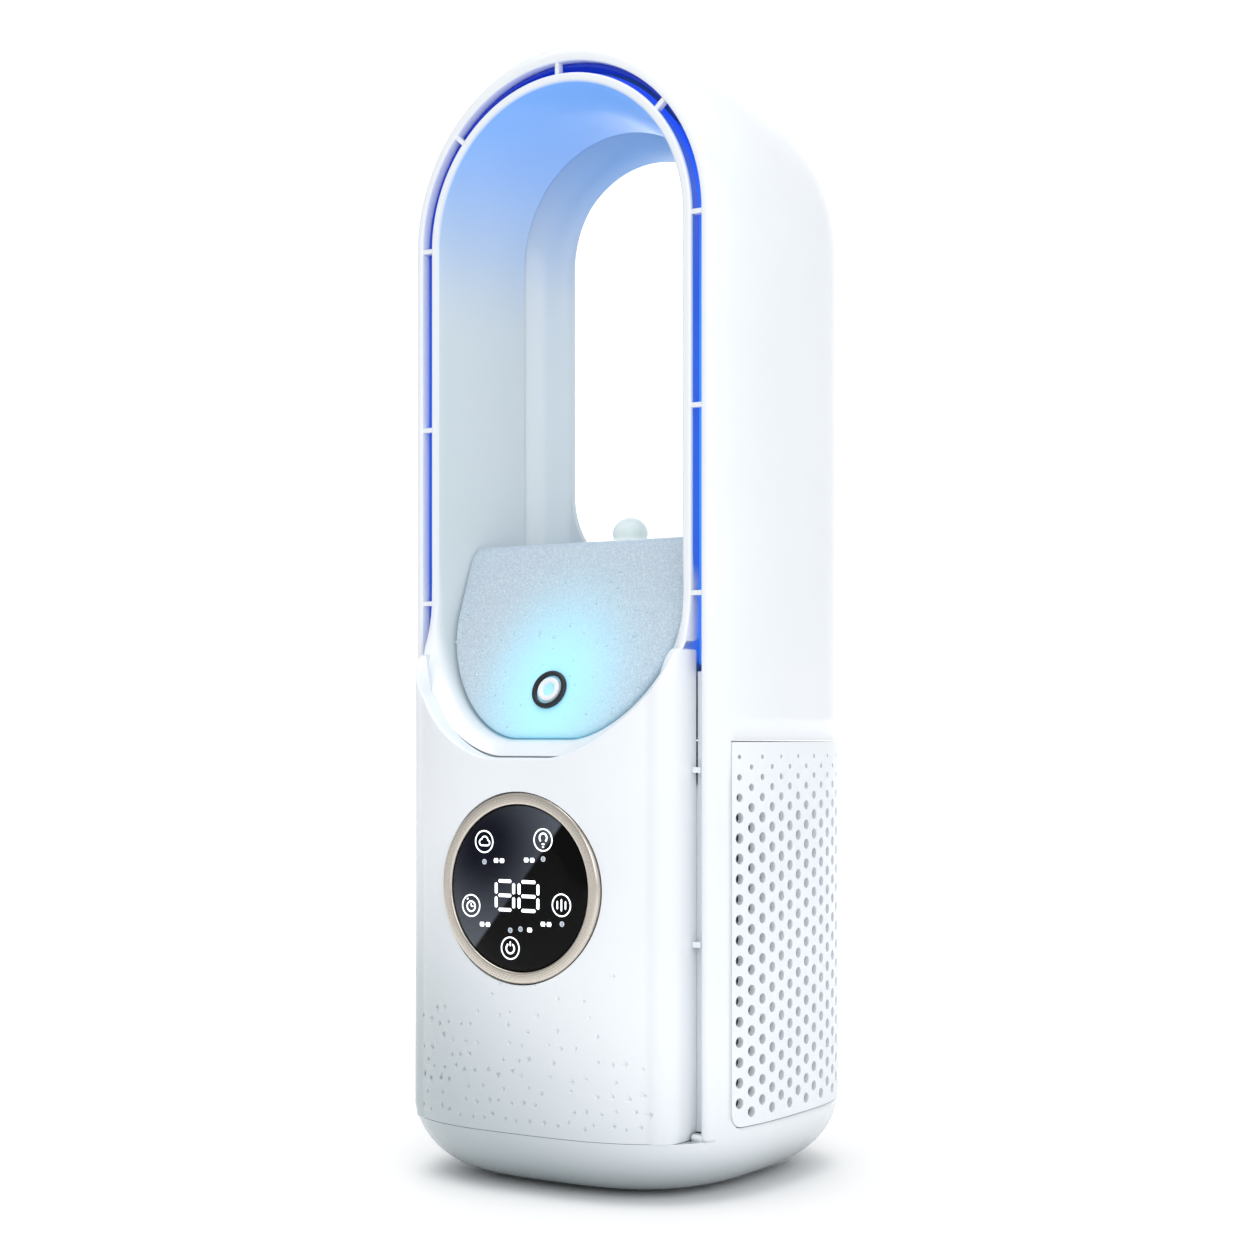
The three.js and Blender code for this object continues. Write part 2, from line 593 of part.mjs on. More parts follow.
function impeller() {
  const bottom = IMPELLER_BOTTOM;
  const top = IMPELLER_TOP;
  const hub = turned(
    [
      [SHAFT_RADIUS + GAP, bottom],
      [7, bottom],
      [10, bottom + 3],
      [22, top - 6],
      [IMPELLER_RADIUS, top - 2.2],
      [IMPELLER_RADIUS, top - 0.8],
      [21, top - 3],
      [9, top - 8],
      [SHAFT_RADIUS + GAP, top - 8],
    ],
    36,
  );
  const sweep = turned(
    [
      [8, bottom + 1],
      [EYE_RADIUS - 3, bottom + 1],
      [EYE_RADIUS + 2, bottom + 4],
      [IMPELLER_RADIUS, bottom + 10.5],
      [IMPELLER_RADIUS, top - 1.5],
      [22, top - 4.5],
      [9, bottom + 5],
    ],
    36,
  );
  const camber = (share, side) => {
    const r = 8 + (IMPELLER_RADIUS - 8) * share;
    const a = -0.9 * share ** 1.2 + (side * 0.7) / r;
    return [r * Math.cos(a), r * Math.sin(a)];
  };
  const shares = [0, 0.25, 0.5, 0.75, 1];
  const blade = [
    ...shares.map((s) => camber(s, -1)),
    ...shares.map((s) => camber(s, 1)).reverse(),
  ];
  const blades = Array.from({ length: BLADES }, (_, i) => {
    const angle = (2 * Math.PI * i) / BLADES;
    const turnedBlade = blade.map(([x, y]) => [
      x * Math.cos(angle) - y * Math.sin(angle),
      x * Math.sin(angle) + y * Math.cos(angle),
    ]);
    return prismUp(turnedBlade, bottom, top);
  });
  return hub.add(unionOf(blades).intersect(sweep));
}

const motorShaft = () => post(0, 0, SHAFT_RADIUS, IMPELLER_BOTTOM - 4, MOTOR_BOTTOM + 14, 16);

const shaftNut = () =>
  post(0, 0, 3.4, IMPELLER_BOTTOM - 3, IMPELLER_BOTTOM - GAP, 6).subtract(
    post(0, 0, SHAFT_RADIUS + GAP, 0, 100, 16),
  );

const motor = () =>
  post(0, 0, MOTOR_RADIUS, MOTOR_BOTTOM, MOTOR_TOP, 32)
    .add(post(0, 0, 6, MOTOR_TOP - 1, MOTOR_TOP + 3, 24))
    .subtract(post(0, 0, SHAFT_RADIUS + GAP, 0, MOTOR_BOTTOM + 15, 16));

function stator() {
  const cupFloor = MOTOR_BOTTOM - GAP;
  const r = MOTOR_RADIUS + GAP;
  const cup = turned(
    [
      [4, cupFloor - 1.8],
      [r + 1.8, cupFloor - 1.8],
      [r + 1.8, MOTOR_TOP - 4],
      [r, MOTOR_TOP - 4],
      [r, cupFloor],
      [4, cupFloor],
    ],
    32,
  );
  const tip = BLOWER_RADIUS - BLOWER_WALL - GAP - 0.4;
  const vanes = Array.from({ length: 8 }, (_, i) => {
    const geometry = new THREE.BoxGeometry(tip - r - 0.8, 1.6, 13);
    geometry.rotateX(rad(28));
    geometry.translate((tip + r + 0.8) / 2, 0, cupFloor + 5.5);
    geometry.rotateZ((2 * Math.PI * i) / 8);
    return solid(geometry);
  });
  return unionOf([cup, ...vanes]);
}

function plenum() {
  const offset = GRILLE_WALL + FILTER_THICKNESS + 3 * GAP;
  const w = HALF_WIDTH - offset;
  const d = HALF_DEPTH - offset;
  const low = BLOWER_TOP + GAP;
  const high = TUNNEL_FLOOR - TUNNEL_WALL - 10;
  const front = FRAME_FRONT + FRAME_THICKNESS + GAP;
  const wall = 1.6;
  const outside = prismUp(planOutline(w, d), low, high);
  const inside = prismUp(planOutline(w - wall, d - wall), low + wall, high + 1);
  const cutOuter = box([-100, front, 0], [100, 100, 300]);
  const cutInner = box([-100, front + wall, 0], [100, 100, 300]);
  const hole = post(0, 0, BLOWER_RADIUS - 10, 0, 200, 48);
  return outside.intersect(cutOuter).subtract(inside.intersect(cutInner)).subtract(hole);
}

// ---- tank, filler plug and mist nozzle ----
const leanAngle = rad(TANK_LEAN);
const tankFaceY = (z) => TANK_FACE_FOOT + Math.tan(leanAngle) * (z - TUNNEL_FLOOR);

function tankForm(shrink) {
  const ys = [-52, LOOP_FRONT, JOIN_Y, TANK_BACK - shrink];
  const rings = ys.map((y) =>
    sillOutline(tunnelRadius(y) - 0.8, -shrink - 0.3).map(([x, z]) => new THREE.Vector3(x, y, z)),
  );
  const low = TUNNEL_FLOOR - 20;
  const high = TANK_TOP - shrink;
  const setback = shrink / Math.cos(leanAngle);
  const side = [
    [tankFaceY(low) + setback, low],
    [100, low],
    [100, high],
    [tankFaceY(high) + setback, high],
  ];
  return solid(loft(rings)).intersect(prismAcross(side));
}

const nozzlePlace = new THREE.Vector3(0, tankFaceY(NOZZLE_HEIGHT), NOZZLE_HEIGHT);

// A ring or disc square to the tank's face, measured outwards from that face.
function onFace(outer, inner, from, to, sides = 32) {
  const placed = (radius, low, high) => {
    const geometry = new THREE.CylinderGeometry(radius, radius, high - low, sides);
    geometry.translate(0, (low + high) / 2, 0);
    geometry.rotateX(Math.PI - leanAngle);
    geometry.translate(...nozzlePlace);
    return solid(geometry);
  };
  const body = placed(outer, from, to);
  return inner > 0 ? body.subtract(placed(inner, from - 1, to + 1)) : body;
}

function waterTank() {
  const filler = post(0, FILLER_Y, FILLER_RADIUS, TANK_TOP - 10, TANK_TOP + 10, 32);
  const nozzleHole = onFace(NOZZLE_RADIUS - 0.9, 0, -10, 5);
  return tankForm(0).subtract(tankForm(TANK_WALL)).subtract(filler).subtract(nozzleHole);
}

function fillerPlug() {
  const base = TANK_TOP + GAP;
  const profile = [
    [0, base - 4],
    [FILLER_RADIUS - GAP, base - 4],
    [FILLER_RADIUS - GAP, base],
    [7, base],
    [7, base + 1.2],
    [5.6, base + 1.6],
  ];
  for (let i = 0; i <= 5; i++) {
    const a = (Math.PI * i) / 10;
    profile.push([5.5 * Math.cos(a), base + 3.6 + 5.4 * Math.sin(a)]);
  }
  profile[profile.length - 1][0] = 0;
  const geometry = new THREE.LatheGeometry(profile.map(([r, z]) => new THREE.Vector2(r, z)), 32);
  geometry.rotateX(Math.PI / 2);
  geometry.translate(0, FILLER_Y, 0);
  return solid(geometry);
}

const nozzleBezel = () =>
  onFace(NOZZLE_RADIUS, NOZZLE_RADIUS - 1.6, GAP, 1.3).add(
    onFace(NOZZLE_RADIUS - 1.2, NOZZLE_RADIUS - 1.8, -6, 1),
  );

// ---- strips of light in the air channel ----
function archBand(radiusFront, radiusBack, thickness, front, back) {
  const bottom = SLIT_BOTTOM + 2;
  const steps = 20;
  const path = [[1, 0, bottom]];
  for (let i = 0; i <= steps; i++) {
    const a = (Math.PI * i) / steps;
    path.push([Math.cos(a), Math.sin(a), ARCH_CENTRE]);
  }
  path.push([-1, 0, bottom]);
  const rings = path.map(([c, s, z]) =>
    [
      [radiusFront, front],
      [radiusFront + thickness, front],
      [radiusBack + thickness, back],
      [radiusBack, back],
    ].map(([r, y]) => new THREE.Vector3(r * c, y, z + r * s)),
  );
  const n = 4;
  const geometry = loft(rings, true);
  const index = Array.from(geometry.index.array).slice(0, -n * 6);
  const lastRing = (rings.length - 1) * n;
  index.push(0, 2, 1, 0, 3, 2);
  index.push(lastRing, lastRing + 1, lastRing + 2, lastRing, lastRing + 2, lastRing + 3);
  geometry.setIndex(index);
  return solid(geometry);
}

const ringWallRadius = (y) =>
  SLIT_INNER +
  ((JOIN_RADIUS + TUNNEL_WALL - SLIT_INNER) * (y - LOOP_FRONT - 2.5)) / (JOIN_Y - LOOP_FRONT - 2.5);

const lightGuide = () =>
  archBand(ringWallRadius(-34) + 0.5, ringWallRadius(-16) + 0.5, 0.9, -34, -16);

const lightStrip = () => archBand(SLIT_OUTER - 1.2, SLIT_OUTER - 1.2, 1, -35.6, -28);

// ---- display ----
const bezel = () =>
  disc(0, DISPLAY_HEIGHT, BEZEL_RADIUS, BEZEL_FRONT, BEZEL_FRONT + 6, 56).subtract(
    disc(0, DISPLAY_HEIGHT, BEZEL_RADIUS - BEZEL_WIDTH, -100, 0, 56),
  );

const glassBack = GLASS_FRONT + GLASS_THICKNESS;
const boardFront = glassBack + 3.6;
const glassRadius = BEZEL_RADIUS - BEZEL_WIDTH - GAP;
const glass = () => disc(0, DISPLAY_HEIGHT, glassRadius, GLASS_FRONT, glassBack, 56);
const displayBoard = () => disc(0, DISPLAY_HEIGHT, glassRadius + 1, boardFront + 0.4, boardFront + 2);
const digitModule = () =>
  box([-8, glassBack + GAP, DISPLAY_HEIGHT - 6.5], [8, boardFront, DISPLAY_HEIGHT + 6.5]);
const keySpring = (angle) =>
  disc(
    KEY_RADIUS * Math.cos(rad(angle)),
    DISPLAY_HEIGHT + KEY_RADIUS * Math.sin(rad(angle)),
    2.6,
    glassBack + GAP,
    boardFront,
    16,
  );

// The power board stands behind the panel, between its foot and the blower's inlet.
const powerBoard = () => box([-28, -43, PANEL_BOTTOM + 6], [28, -41.4, BLOWER_BOTTOM + 1.6]);

// ---- the assembly ----
const white = { color: 0xf2f5f8, roughness: 0.25, metalness: 0 };
const looks = {
  white,
  frosted: { color: 0xb8e4f2, roughness: 0.35, metalness: 0, transparent: true, opacity: 0.6 },
  silver: { color: 0xc9c1b6, roughness: 0.3, metalness: 1 },
  black: { color: 0x0a0b0d, roughness: 0.1, metalness: 0 },
  board: { color: 0x1f5a3c, roughness: 0.6, metalness: 0 },
  grey: { color: 0x4a4f55, roughness: 0.7, metalness: 0 },
  steel: { color: 0x9a9fa5, roughness: 0.35, metalness: 1 },
  rubber: { color: 0x2a2b2d, roughness: 0.9, metalness: 0 },
  light: { color: 0x2e6cf0, roughness: 0.4, metalness: 0 },
  natural: { color: 0xe8efe9, roughness: 0.4, metalness: 0 },
};

const fan = new THREE.Group();
fan.name = "tower_fan";

function place(name, look, body) {
  const made = body.getMesh();
  const geometry = new THREE.BufferGeometry();
  geometry.setAttribute("position", new THREE.BufferAttribute(made.vertProperties, 3));
  geometry.setIndex(new THREE.BufferAttribute(made.triVerts, 1));
  geometry.computeVertexNormals();
  const mesh = new THREE.Mesh(geometry, new THREE.MeshStandardMaterial(looks[look]));
  mesh.name = name;
  fan.add(mesh);
}

place("outer_shell", "white", outerShell());
place("rear_duct", "white", rearDuct());
place("nozzle_ring", "white", nozzleRing());
place("front_panel", "white", frontPanel());
place("front_frame", "white", frontFrame());
place("intake_grille", "white", intakeGrille());
place("dust_filter", "grey", dustFilter());
place("base_plate", "white", basePlate());
footPlaces.forEach((p, i) => place(`rubber_foot_${i + 1}`, "rubber", foot(p)));
postPlaces.forEach((p, i) => place(`base_screw_${i + 1}`, "steel", screw(p)));
place("blower_stand", "white", blowerStand());
place("blower_housing", "white", blowerHousing());
place("plenum", "white", plenum());
place("stator", "white", stator());
place("motor", "steel", motor());
place("motor_shaft", "steel", motorShaft());
place("impeller", "natural", impeller());
place("shaft_nut", "steel", shaftNut());
place("display_bezel", "silver", bezel());
place("display_glass", "black", glass());
place("digit_module", "black", digitModule());
place("display_board", "board", displayBoard());
KEY_ANGLES.forEach((a, i) => place(`key_spring_${i + 1}`, "steel", keySpring(a)));
place("power_board", "board", powerBoard());
place("power_port", "steel", powerPort());
place("water_tank", "frosted", waterTank());
place("filler_plug", "natural", fillerPlug());
place("mist_nozzle_bezel", "grey", nozzleBezel());
place("mist_nozzle_insert", "natural", onFace(NOZZLE_RADIUS - 2.1, 2, -0.6, 1.5));
place("atomiser_disc", "steel", onFace(NOZZLE_RADIUS - 2.1, 0, -1.6, -0.9));
place("mist_wick", "natural", onFace(3, 0, -22, -2));
place("tank_lamp", "light", box([-14, -40, TUNNEL_FLOOR - 1.7], [14, -32, TUNNEL_FLOOR - 0.3]));
place("light_guide", "light", lightGuide());
place("light_strip", "light", lightStrip());

export default fan;
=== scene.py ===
# %% [markdown]
# A bladeless desktop tower fan with a mist tank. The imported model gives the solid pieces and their
# places. This lesson gives them their visible surfaces: smoother skins for the moulded covers, the
# punched air holes, the lit slit, the frosted tank and the finishes of every piece.
# Lengths in the lesson are in millimetres and turn into metres when a mesh is made.

import math

import bmesh
import bpy
import numpy as np
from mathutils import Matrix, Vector


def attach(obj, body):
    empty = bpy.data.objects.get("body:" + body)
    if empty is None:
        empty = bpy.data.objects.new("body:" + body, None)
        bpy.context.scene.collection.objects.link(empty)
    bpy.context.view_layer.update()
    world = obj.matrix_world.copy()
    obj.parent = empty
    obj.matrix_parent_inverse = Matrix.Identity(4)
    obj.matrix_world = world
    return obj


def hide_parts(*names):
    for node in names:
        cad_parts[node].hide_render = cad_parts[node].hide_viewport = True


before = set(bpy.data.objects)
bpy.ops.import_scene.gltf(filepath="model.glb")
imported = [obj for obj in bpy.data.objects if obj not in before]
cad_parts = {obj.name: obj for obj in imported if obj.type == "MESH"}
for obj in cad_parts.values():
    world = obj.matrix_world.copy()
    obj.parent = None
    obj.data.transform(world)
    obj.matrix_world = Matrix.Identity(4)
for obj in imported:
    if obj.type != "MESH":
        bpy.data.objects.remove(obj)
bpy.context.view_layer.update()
MM = 0.001
print("pieces:", len(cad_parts))

# %% [markdown]
# Finishes and repeats are both written as node trees. A Value is one output of a node that can be
# added, multiplied and compared like a number, so that a finish reads like a formula.

# %% Write node trees as formulas
class Value:
    def __init__(self, tree, socket):
        self.tree = tree
        self.socket = socket

    def math(self, operation, other=None, first=None):
        values = [self if first is None else first, other]
        sockets = {i: v for i, v in enumerate(values) if v is not None}
        return self.tree.node("ShaderNodeMath", {"operation": operation}, sockets)

    def ramp(self, low, high):
        settings = {"interpolation_type": "SMOOTHSTEP"}
        return self.tree.node("ShaderNodeMapRange", settings, {0: self, 1: low, 2: high})


def operator(operation, swapped=False):
    if swapped:
        return lambda value, other: value.math(operation, value, first=other)
    return lambda value, other: value.math(operation, other)


for sign, operation in {"add": "ADD", "sub": "SUBTRACT", "mul": "MULTIPLY", "truediv": "DIVIDE"}.items():
    setattr(Value, f"__{sign}__", operator(operation))
    setattr(Value, f"__r{sign}__", operator(operation, True))
for sign, operation in {"pow": "POWER", "gt": "GREATER_THAN", "lt": "LESS_THAN"}.items():
    setattr(Value, f"__{sign}__", operator(operation))


class Tree:
    def __init__(self, tree):
        self.tree = tree

    def node(self, kind, settings=None, sockets=None, out=0):
        made = self.tree.nodes.new(kind)
        for key, value in (settings or {}).items():
            setattr(made, key, value)
        for key, value in (sockets or {}).items():
            if isinstance(value, Value):
                self.tree.links.new(value.socket, made.inputs[key])
            elif value is not None:
                made.inputs[key].default_value = value
        return Value(self, made.outputs[out]) if made.outputs else made

    def split(self, value):
        node = self.tree.nodes.new("ShaderNodeSeparateXYZ")
        self.tree.links.new(value.socket, node.inputs[0])
        return [Value(self, s) for s in node.outputs]

    def vector(self, x, y, z):
        return self.node("ShaderNodeCombineXYZ", None, {0: x, 1: y, 2: z})

    def place(self):
        """The piece's own position, as one vector and as three lengths in millimetres."""
        position = self.node("ShaderNodeTexCoord", out=3)
        return position, [axis / MM for axis in self.split(position)]

    def random(self, low, high, index, seed):
        sockets = {2: low, 3: high, 7: index, 8: seed}
        return self.node("FunctionNodeRandomValue", {"data_type": "FLOAT"}, sockets, out=1)

    def mix(self, share, first, second):
        sockets = {0: share, 6: first, 7: second}
        return self.node("ShaderNodeMix", {"data_type": "RGBA"}, sockets, out=2)

    def noise(self, position, scale, detail=2.0, roughness=0.5):
        sockets = {"Vector": position, "Scale": scale, "Detail": detail, "Roughness": roughness}
        return self.node("ShaderNodeTexNoise", None, sockets)


# %% [markdown]
# A finish starts as one surface with fixed values. Only colour, roughness, glow and the fine
# relief change from place to place.

# %% Start a finish
def rgb(code, alpha=1.0):
    parts = [int(code[i : i + 2], 16) / 255 for i in (0, 2, 4)]
    linear = [c / 12.92 if c < 0.04045 else ((c + 0.055) / 1.055) ** 2.4 for c in parts]
    return (*linear, alpha)


class Finish(Tree):
    def __init__(self, name, **fixed):
        self.material = bpy.data.materials.new(name)
        self.material.use_nodes = True
        super().__init__(self.material.node_tree)
        self.surface = self.tree.nodes["Principled BSDF"]
        self.set(**fixed)

    def set(self, **values):
        for key, value in values.items():
            socket = self.surface.inputs[key.replace("_", " ")]
            if isinstance(value, Value):
                self.tree.links.new(value.socket, socket)
            else:
                socket.default_value = value

    def relief(self, height, distance, strength=1.0):
        sockets = {"Height": height, "Distance": distance * MM, "Strength": strength}
        self.set(Normal=self.node("ShaderNodeBump", None, sockets))


# %% [markdown]
# The covers are glossy white plastic with a cool cast. Moulded gloss is never quite even, so the
# relief holds a very fine grain and the gloss varies a little. Little light reaches the foot of the
# fan and the underside of its bowl, so shade is painted there: the colour turns greyer towards the
# foot, higher up on the left, and darker still under the bowl.

# %% White moulded covers
SHADE_FOOT_HEIGHT, UNDER_SHADE_HEIGHT, SHADE_LEFT_EDGE, SHADE_SLANT = 96.0, 20.0, 10.0, 0.8


def white_plastic(name, colour, roughness, coat, foot=None, under_shade=None):
    finish = Finish(name, Specular_IOR_Level=0.5, Coat_Weight=coat, Coat_Roughness=0.08)
    position, (x, y, z) = finish.place()
    cloud = finish.noise(position, 18.0, 3.0)
    grain = finish.noise(position, 900.0, 2.0)
    # painted shade: clear is the share of the plain colour; the grey foot colour is mixed in towards the
    # bottom, higher up on the left
    clear = (z + (x + SHADE_LEFT_EDGE) * SHADE_SLANT).ramp(0.0, SHADE_FOOT_HEIGHT)
    cover = finish.mix(clear, rgb(foot or colour), finish.mix(cloud, rgb(colour), rgb("F5F8FC")))
    # painted shade: the underside of the bowl takes the darker under colour
    under_shade_share = z.ramp(-4.0, UNDER_SHADE_HEIGHT)
    colours = finish.mix(under_shade_share, rgb(under_shade or colour), cover)
    finish.set(Base_Color=colours, Roughness=roughness + 0.08 * cloud)
    finish.relief(grain, 0.02, 0.25)
    return finish.material


# The glossy covers carry painted shade: B6C0C4 towards the foot and 8A9498 under the bowl.
white_gloss_painted_shade = white_plastic("glossy white cover plastic", "E9EEF3", 0.2, 0.35, "B6C0C4", "8A9498")
white_satin = white_plastic("satin white grille plastic", "E6ECF2", 0.3, 0.15)
white_inner = white_plastic("white inner plastic", "D5DBE2", 0.45, 0.0)
print("white plastics:", white_gloss_painted_shade.name, white_satin.name, white_inner.name)

# %% [markdown]
# Skins are built as sheets of points, one curve beside the next. The fan is the same left and
# right, so most skins are drawn for the right half and copied over.

# %% Build skins from sheets of points
class Skin:
    def __init__(self):
        self.points = []
        self.faces = []
        self.values = []

    def sheet(self, rows, value=None):
        rows = np.asarray(rows, float)
        first = len(self.points)
        down, across = rows.shape[:2]
        self.points.extend(rows.reshape(-1, 3))
        values = np.zeros((down, across)) if value is None else np.broadcast_to(value, (down, across))
        self.values.extend(values.reshape(-1).tolist())
        for i in range(down - 1):
            for j in range(across - 1):
                a = first + i * across + j
                self.faces.append((a, a + 1, a + across + 1, a + across))

    def patch(self, points):
        first = len(self.points)
        self.points.extend([list(p) for p in points])
        self.values.extend([0.0] * len(points))
        self.faces.append(tuple(range(first, first + len(points))))

    def mirror(self):
        first = len(self.points)
        self.points.extend([[-x, y, z] for x, y, z in self.points])
        self.values.extend(list(self.values))
        self.faces.extend([tuple(first + v for v in reversed(f)) for f in list(self.faces)])

    def mesh(self, name, materials, sharp=32.0, probe=None):
        data = bpy.data.meshes.new(name)
        work = bmesh.new()
        layer = work.verts.layers.float.new("share")
        verts = [work.verts.new(Vector(p) * MM) for p in self.points]
        for vert, value in zip(verts, self.values):
            vert[layer] = value
        for face in self.faces:
            corners = [verts[v] for v in face]
            if len(set(corners)) == len(corners):
                work.faces.new(corners)
        bmesh.ops.remove_doubles(work, verts=work.verts, dist=0.004 * MM)
        bmesh.ops.dissolve_degenerate(work, edges=work.edges, dist=0.002 * MM)
        bmesh.ops.recalc_face_normals(work, faces=work.faces)
        if probe is not None:
            spot = Vector(probe) * MM
            near = min(work.faces, key=lambda f: (f.calc_center_median() - spot).length)
            if near.normal.dot(spot - Vector((0, 0, near.calc_center_median().z))) < 0:
                bmesh.ops.reverse_faces(work, faces=work.faces)
        work.to_mesh(data)
        work.free()
        return finish_mesh(name, data, materials, sharp)


def add_object(name, data):
    made = bpy.data.objects.new(name, data)
    bpy.context.scene.collection.objects.link(made)
    return made


def finish_mesh(name, data, materials, sharp=32.0):
    data.materials.clear()
    for material in materials:
        data.materials.append(material)
    data.shade_smooth()
    data.set_sharp_from_angle(angle=math.radians(sharp))
    return add_object(name, data)


def mount(made, body, slot, *nodes):
    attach(made, body)
    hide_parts(*nodes)
    return made


def thicken(made, thickness):
    shell = made.modifiers.new("wall", "SOLIDIFY")
    shell.thickness = thickness * MM
    shell.offset = -1.0
    return made


def bezier(first, control, last, steps):
    t = np.linspace(0, 1, steps + 1)[:, None]
    first, control, last = (np.asarray(p, float) for p in (first, control, last))
    return ((1 - t) ** 2 * first + 2 * t * (1 - t) * control + t**2 * last).tolist()


def quarter(steps):
    """Even angles from 0 to 90 degrees."""
    return np.radians(np.linspace(0, 90, steps))


def inward_normals(face):
    along = np.gradient(face, axis=0)
    along /= np.linalg.norm(along, axis=1)[:, None]
    return np.stack([-along[:, 1], along[:, 0]], 1)


# %% [markdown]
# In plan the body is a superellipse, squarer than an ellipse and softer than a rectangle. Below,
# it rounds under in a bowl. Above the straight sides the same profile turns round the arch.

# %% The body's plan
HALF_WIDTH, HALF_DEPTH = 58.29, 57.94
ARCH_CENTRE = 278.5
ARCH_STRETCH = 1.0326
BOWL, UNDERSIDE = 22.0, 1.0
LEDGE_Z, BELT_Z, SILL_Z, SILL_RISE, SILL_CURVE = 17.7, 130.0, 130.3, 37.7, 1.75


def plan_x(y):
    return HALF_WIDTH * np.clip(1 - (np.abs(y) / HALF_DEPTH) ** 3, 0, 1) ** (1 / 3)


def plan_y(x):
    return HALF_DEPTH * np.clip(1 - (np.abs(x) / HALF_WIDTH) ** 3, 0, 1) ** (1 / 3)


def inset_at(z):
    cosine = np.clip(1 - (z - UNDERSIDE) / BOWL, 0, 1)
    return BOWL * (1 - np.sqrt(1 - cosine**2))


def on_body(x, y, z):
    inset = inset_at(z)
    return [x * (1 - inset / HALF_WIDTH), y * (1 - inset / HALF_DEPTH), z]


def even_plan(y_first, y_last, count):
    y = np.linspace(y_first, y_last, 400)
    points = np.stack([plan_x(y), y], 1)
    run = np.concatenate([[0], np.cumsum(np.linalg.norm(np.diff(points, axis=0), axis=1))])
    at = np.linspace(0, run[-1], count + 1)
    y_even = np.interp(at, run, y)
    return [(float(plan_x(v)), float(v)) for v in y_even]


# %% [markdown]
# The duct lines the rear half of the tunnel. It is white at the mouth. In the bay where the tank
# stands the light of the slit's lamps is painted on it: pale grey shade low down, blue and a weak
# glow near the crown.

# %% Finish of the rear duct
THROAT_Y, THROAT_RADIUS, THROAT_BOTTOM, THROAT_RISE, THROAT_CENTRE = 16.7, 31.3, 184.2, 24.0, 281.0


def duct_finish():
    finish = Finish("duct plastic, blue lit bay", Coat_Weight=0.3, Coat_Roughness=0.1)
    position, (x, y, z) = finish.place()
    bay = 1.0 - y.ramp(THROAT_Y - 0.4, THROAT_Y + 0.2)
    high = z.ramp(262.0, 322.0)
    cloud = finish.noise(position, 14.0, 2.0)
    white = finish.mix(cloud, rgb("E9EEF3"), rgb("F5F8FB"))
    # painted light and shade: the bay is pale grey low down and blue near the crown, with a painted glow
    painted_lamp_light = finish.mix(high, rgb("DFE8EC"), rgb("7CA6DA"))
    finish.set(Base_Color=finish.mix(bay, white, painted_lamp_light), Roughness=0.2 + 0.1 * bay)
    finish.set(Emission_Color=finish.mix(bay * high, rgb("000000"), rgb("3C74C4")))
    finish.set(Emission_Strength=0.25)
    return finish.material


duct_plastic = duct_finish()

# %% [markdown]
# The outer shell is one large moulding: the side walls, the arch and the bowl. Its front rim rolls
# over into the air slit. Behind the arch the outer wall rolls over a soft crest into the rear mouth
# of the air tunnel, which the duct lines. The openings for the grille stop short at the front. The
# shell and the duct share the crest's edge, so they are drawn together.

# %% Outer shell and rear duct
SLIT_OUTER, RIM_Y = 49.5, -39.0
CREST_X, CREST_Y, CREST_LIMIT = 49.9, 41.7, 57.8
ROLL_X, BASE_HALF = 51.3, 32
GRILLE_FRONT, GRILLE_BOTTOM, GRILLE_TOP, GRILLE_CORNER = -31.5, 20.5, 130.0, 4.0
FLAT = 10.0
CREST_BOTTOM, CREST_RISE = 157.0, 36.0
ROLL_BOTTOM, ROLL_RISE, ROLL_TOP = 154.8, 38.2, 193.0
GROOVE_IN, GROOVE_OUT, GROOVE_BACK = 46.5, 49.6, -36.0
HIGH_ROWS = [BELT_Z, 137.0, 145.0, 158.0, 171.5, ROLL_TOP, 210.0, 233.0, 256.0, ARCH_CENTRE]
LOW_ROWS = [LEDGE_Z, 19.0, GRILLE_BOTTOM]
STRIP_ROWS = LOW_ROWS + [22.5, 24.5, 40.0, 60.0, 80.0, 100.0, 118.0] + HIGH_ROWS
ARCH = quarter(31)
U_TURN = quarter(15)


def rim_profile():
    corner = quarter(5)
    points = [(SLIT_OUTER, -34.0), (SLIT_OUTER, -36.0)]
    points += [(SLIT_OUTER + 0.7 - 0.7 * math.cos(a), -38.3 - 0.7 * math.sin(a)) for a in corner]
    points += bezier((50.6, RIM_Y), (52.2, RIM_Y), (plan_x(-36.0), -36.0), 6)[:-1]
    return points


def u_turn(reach, bottom, rise):
    turn = [(FLAT + (reach - FLAT) * math.sin(a), bottom + rise * (1 - math.cos(a))) for a in U_TURN]
    return [(0.0, bottom), (5.0, bottom)] + turn


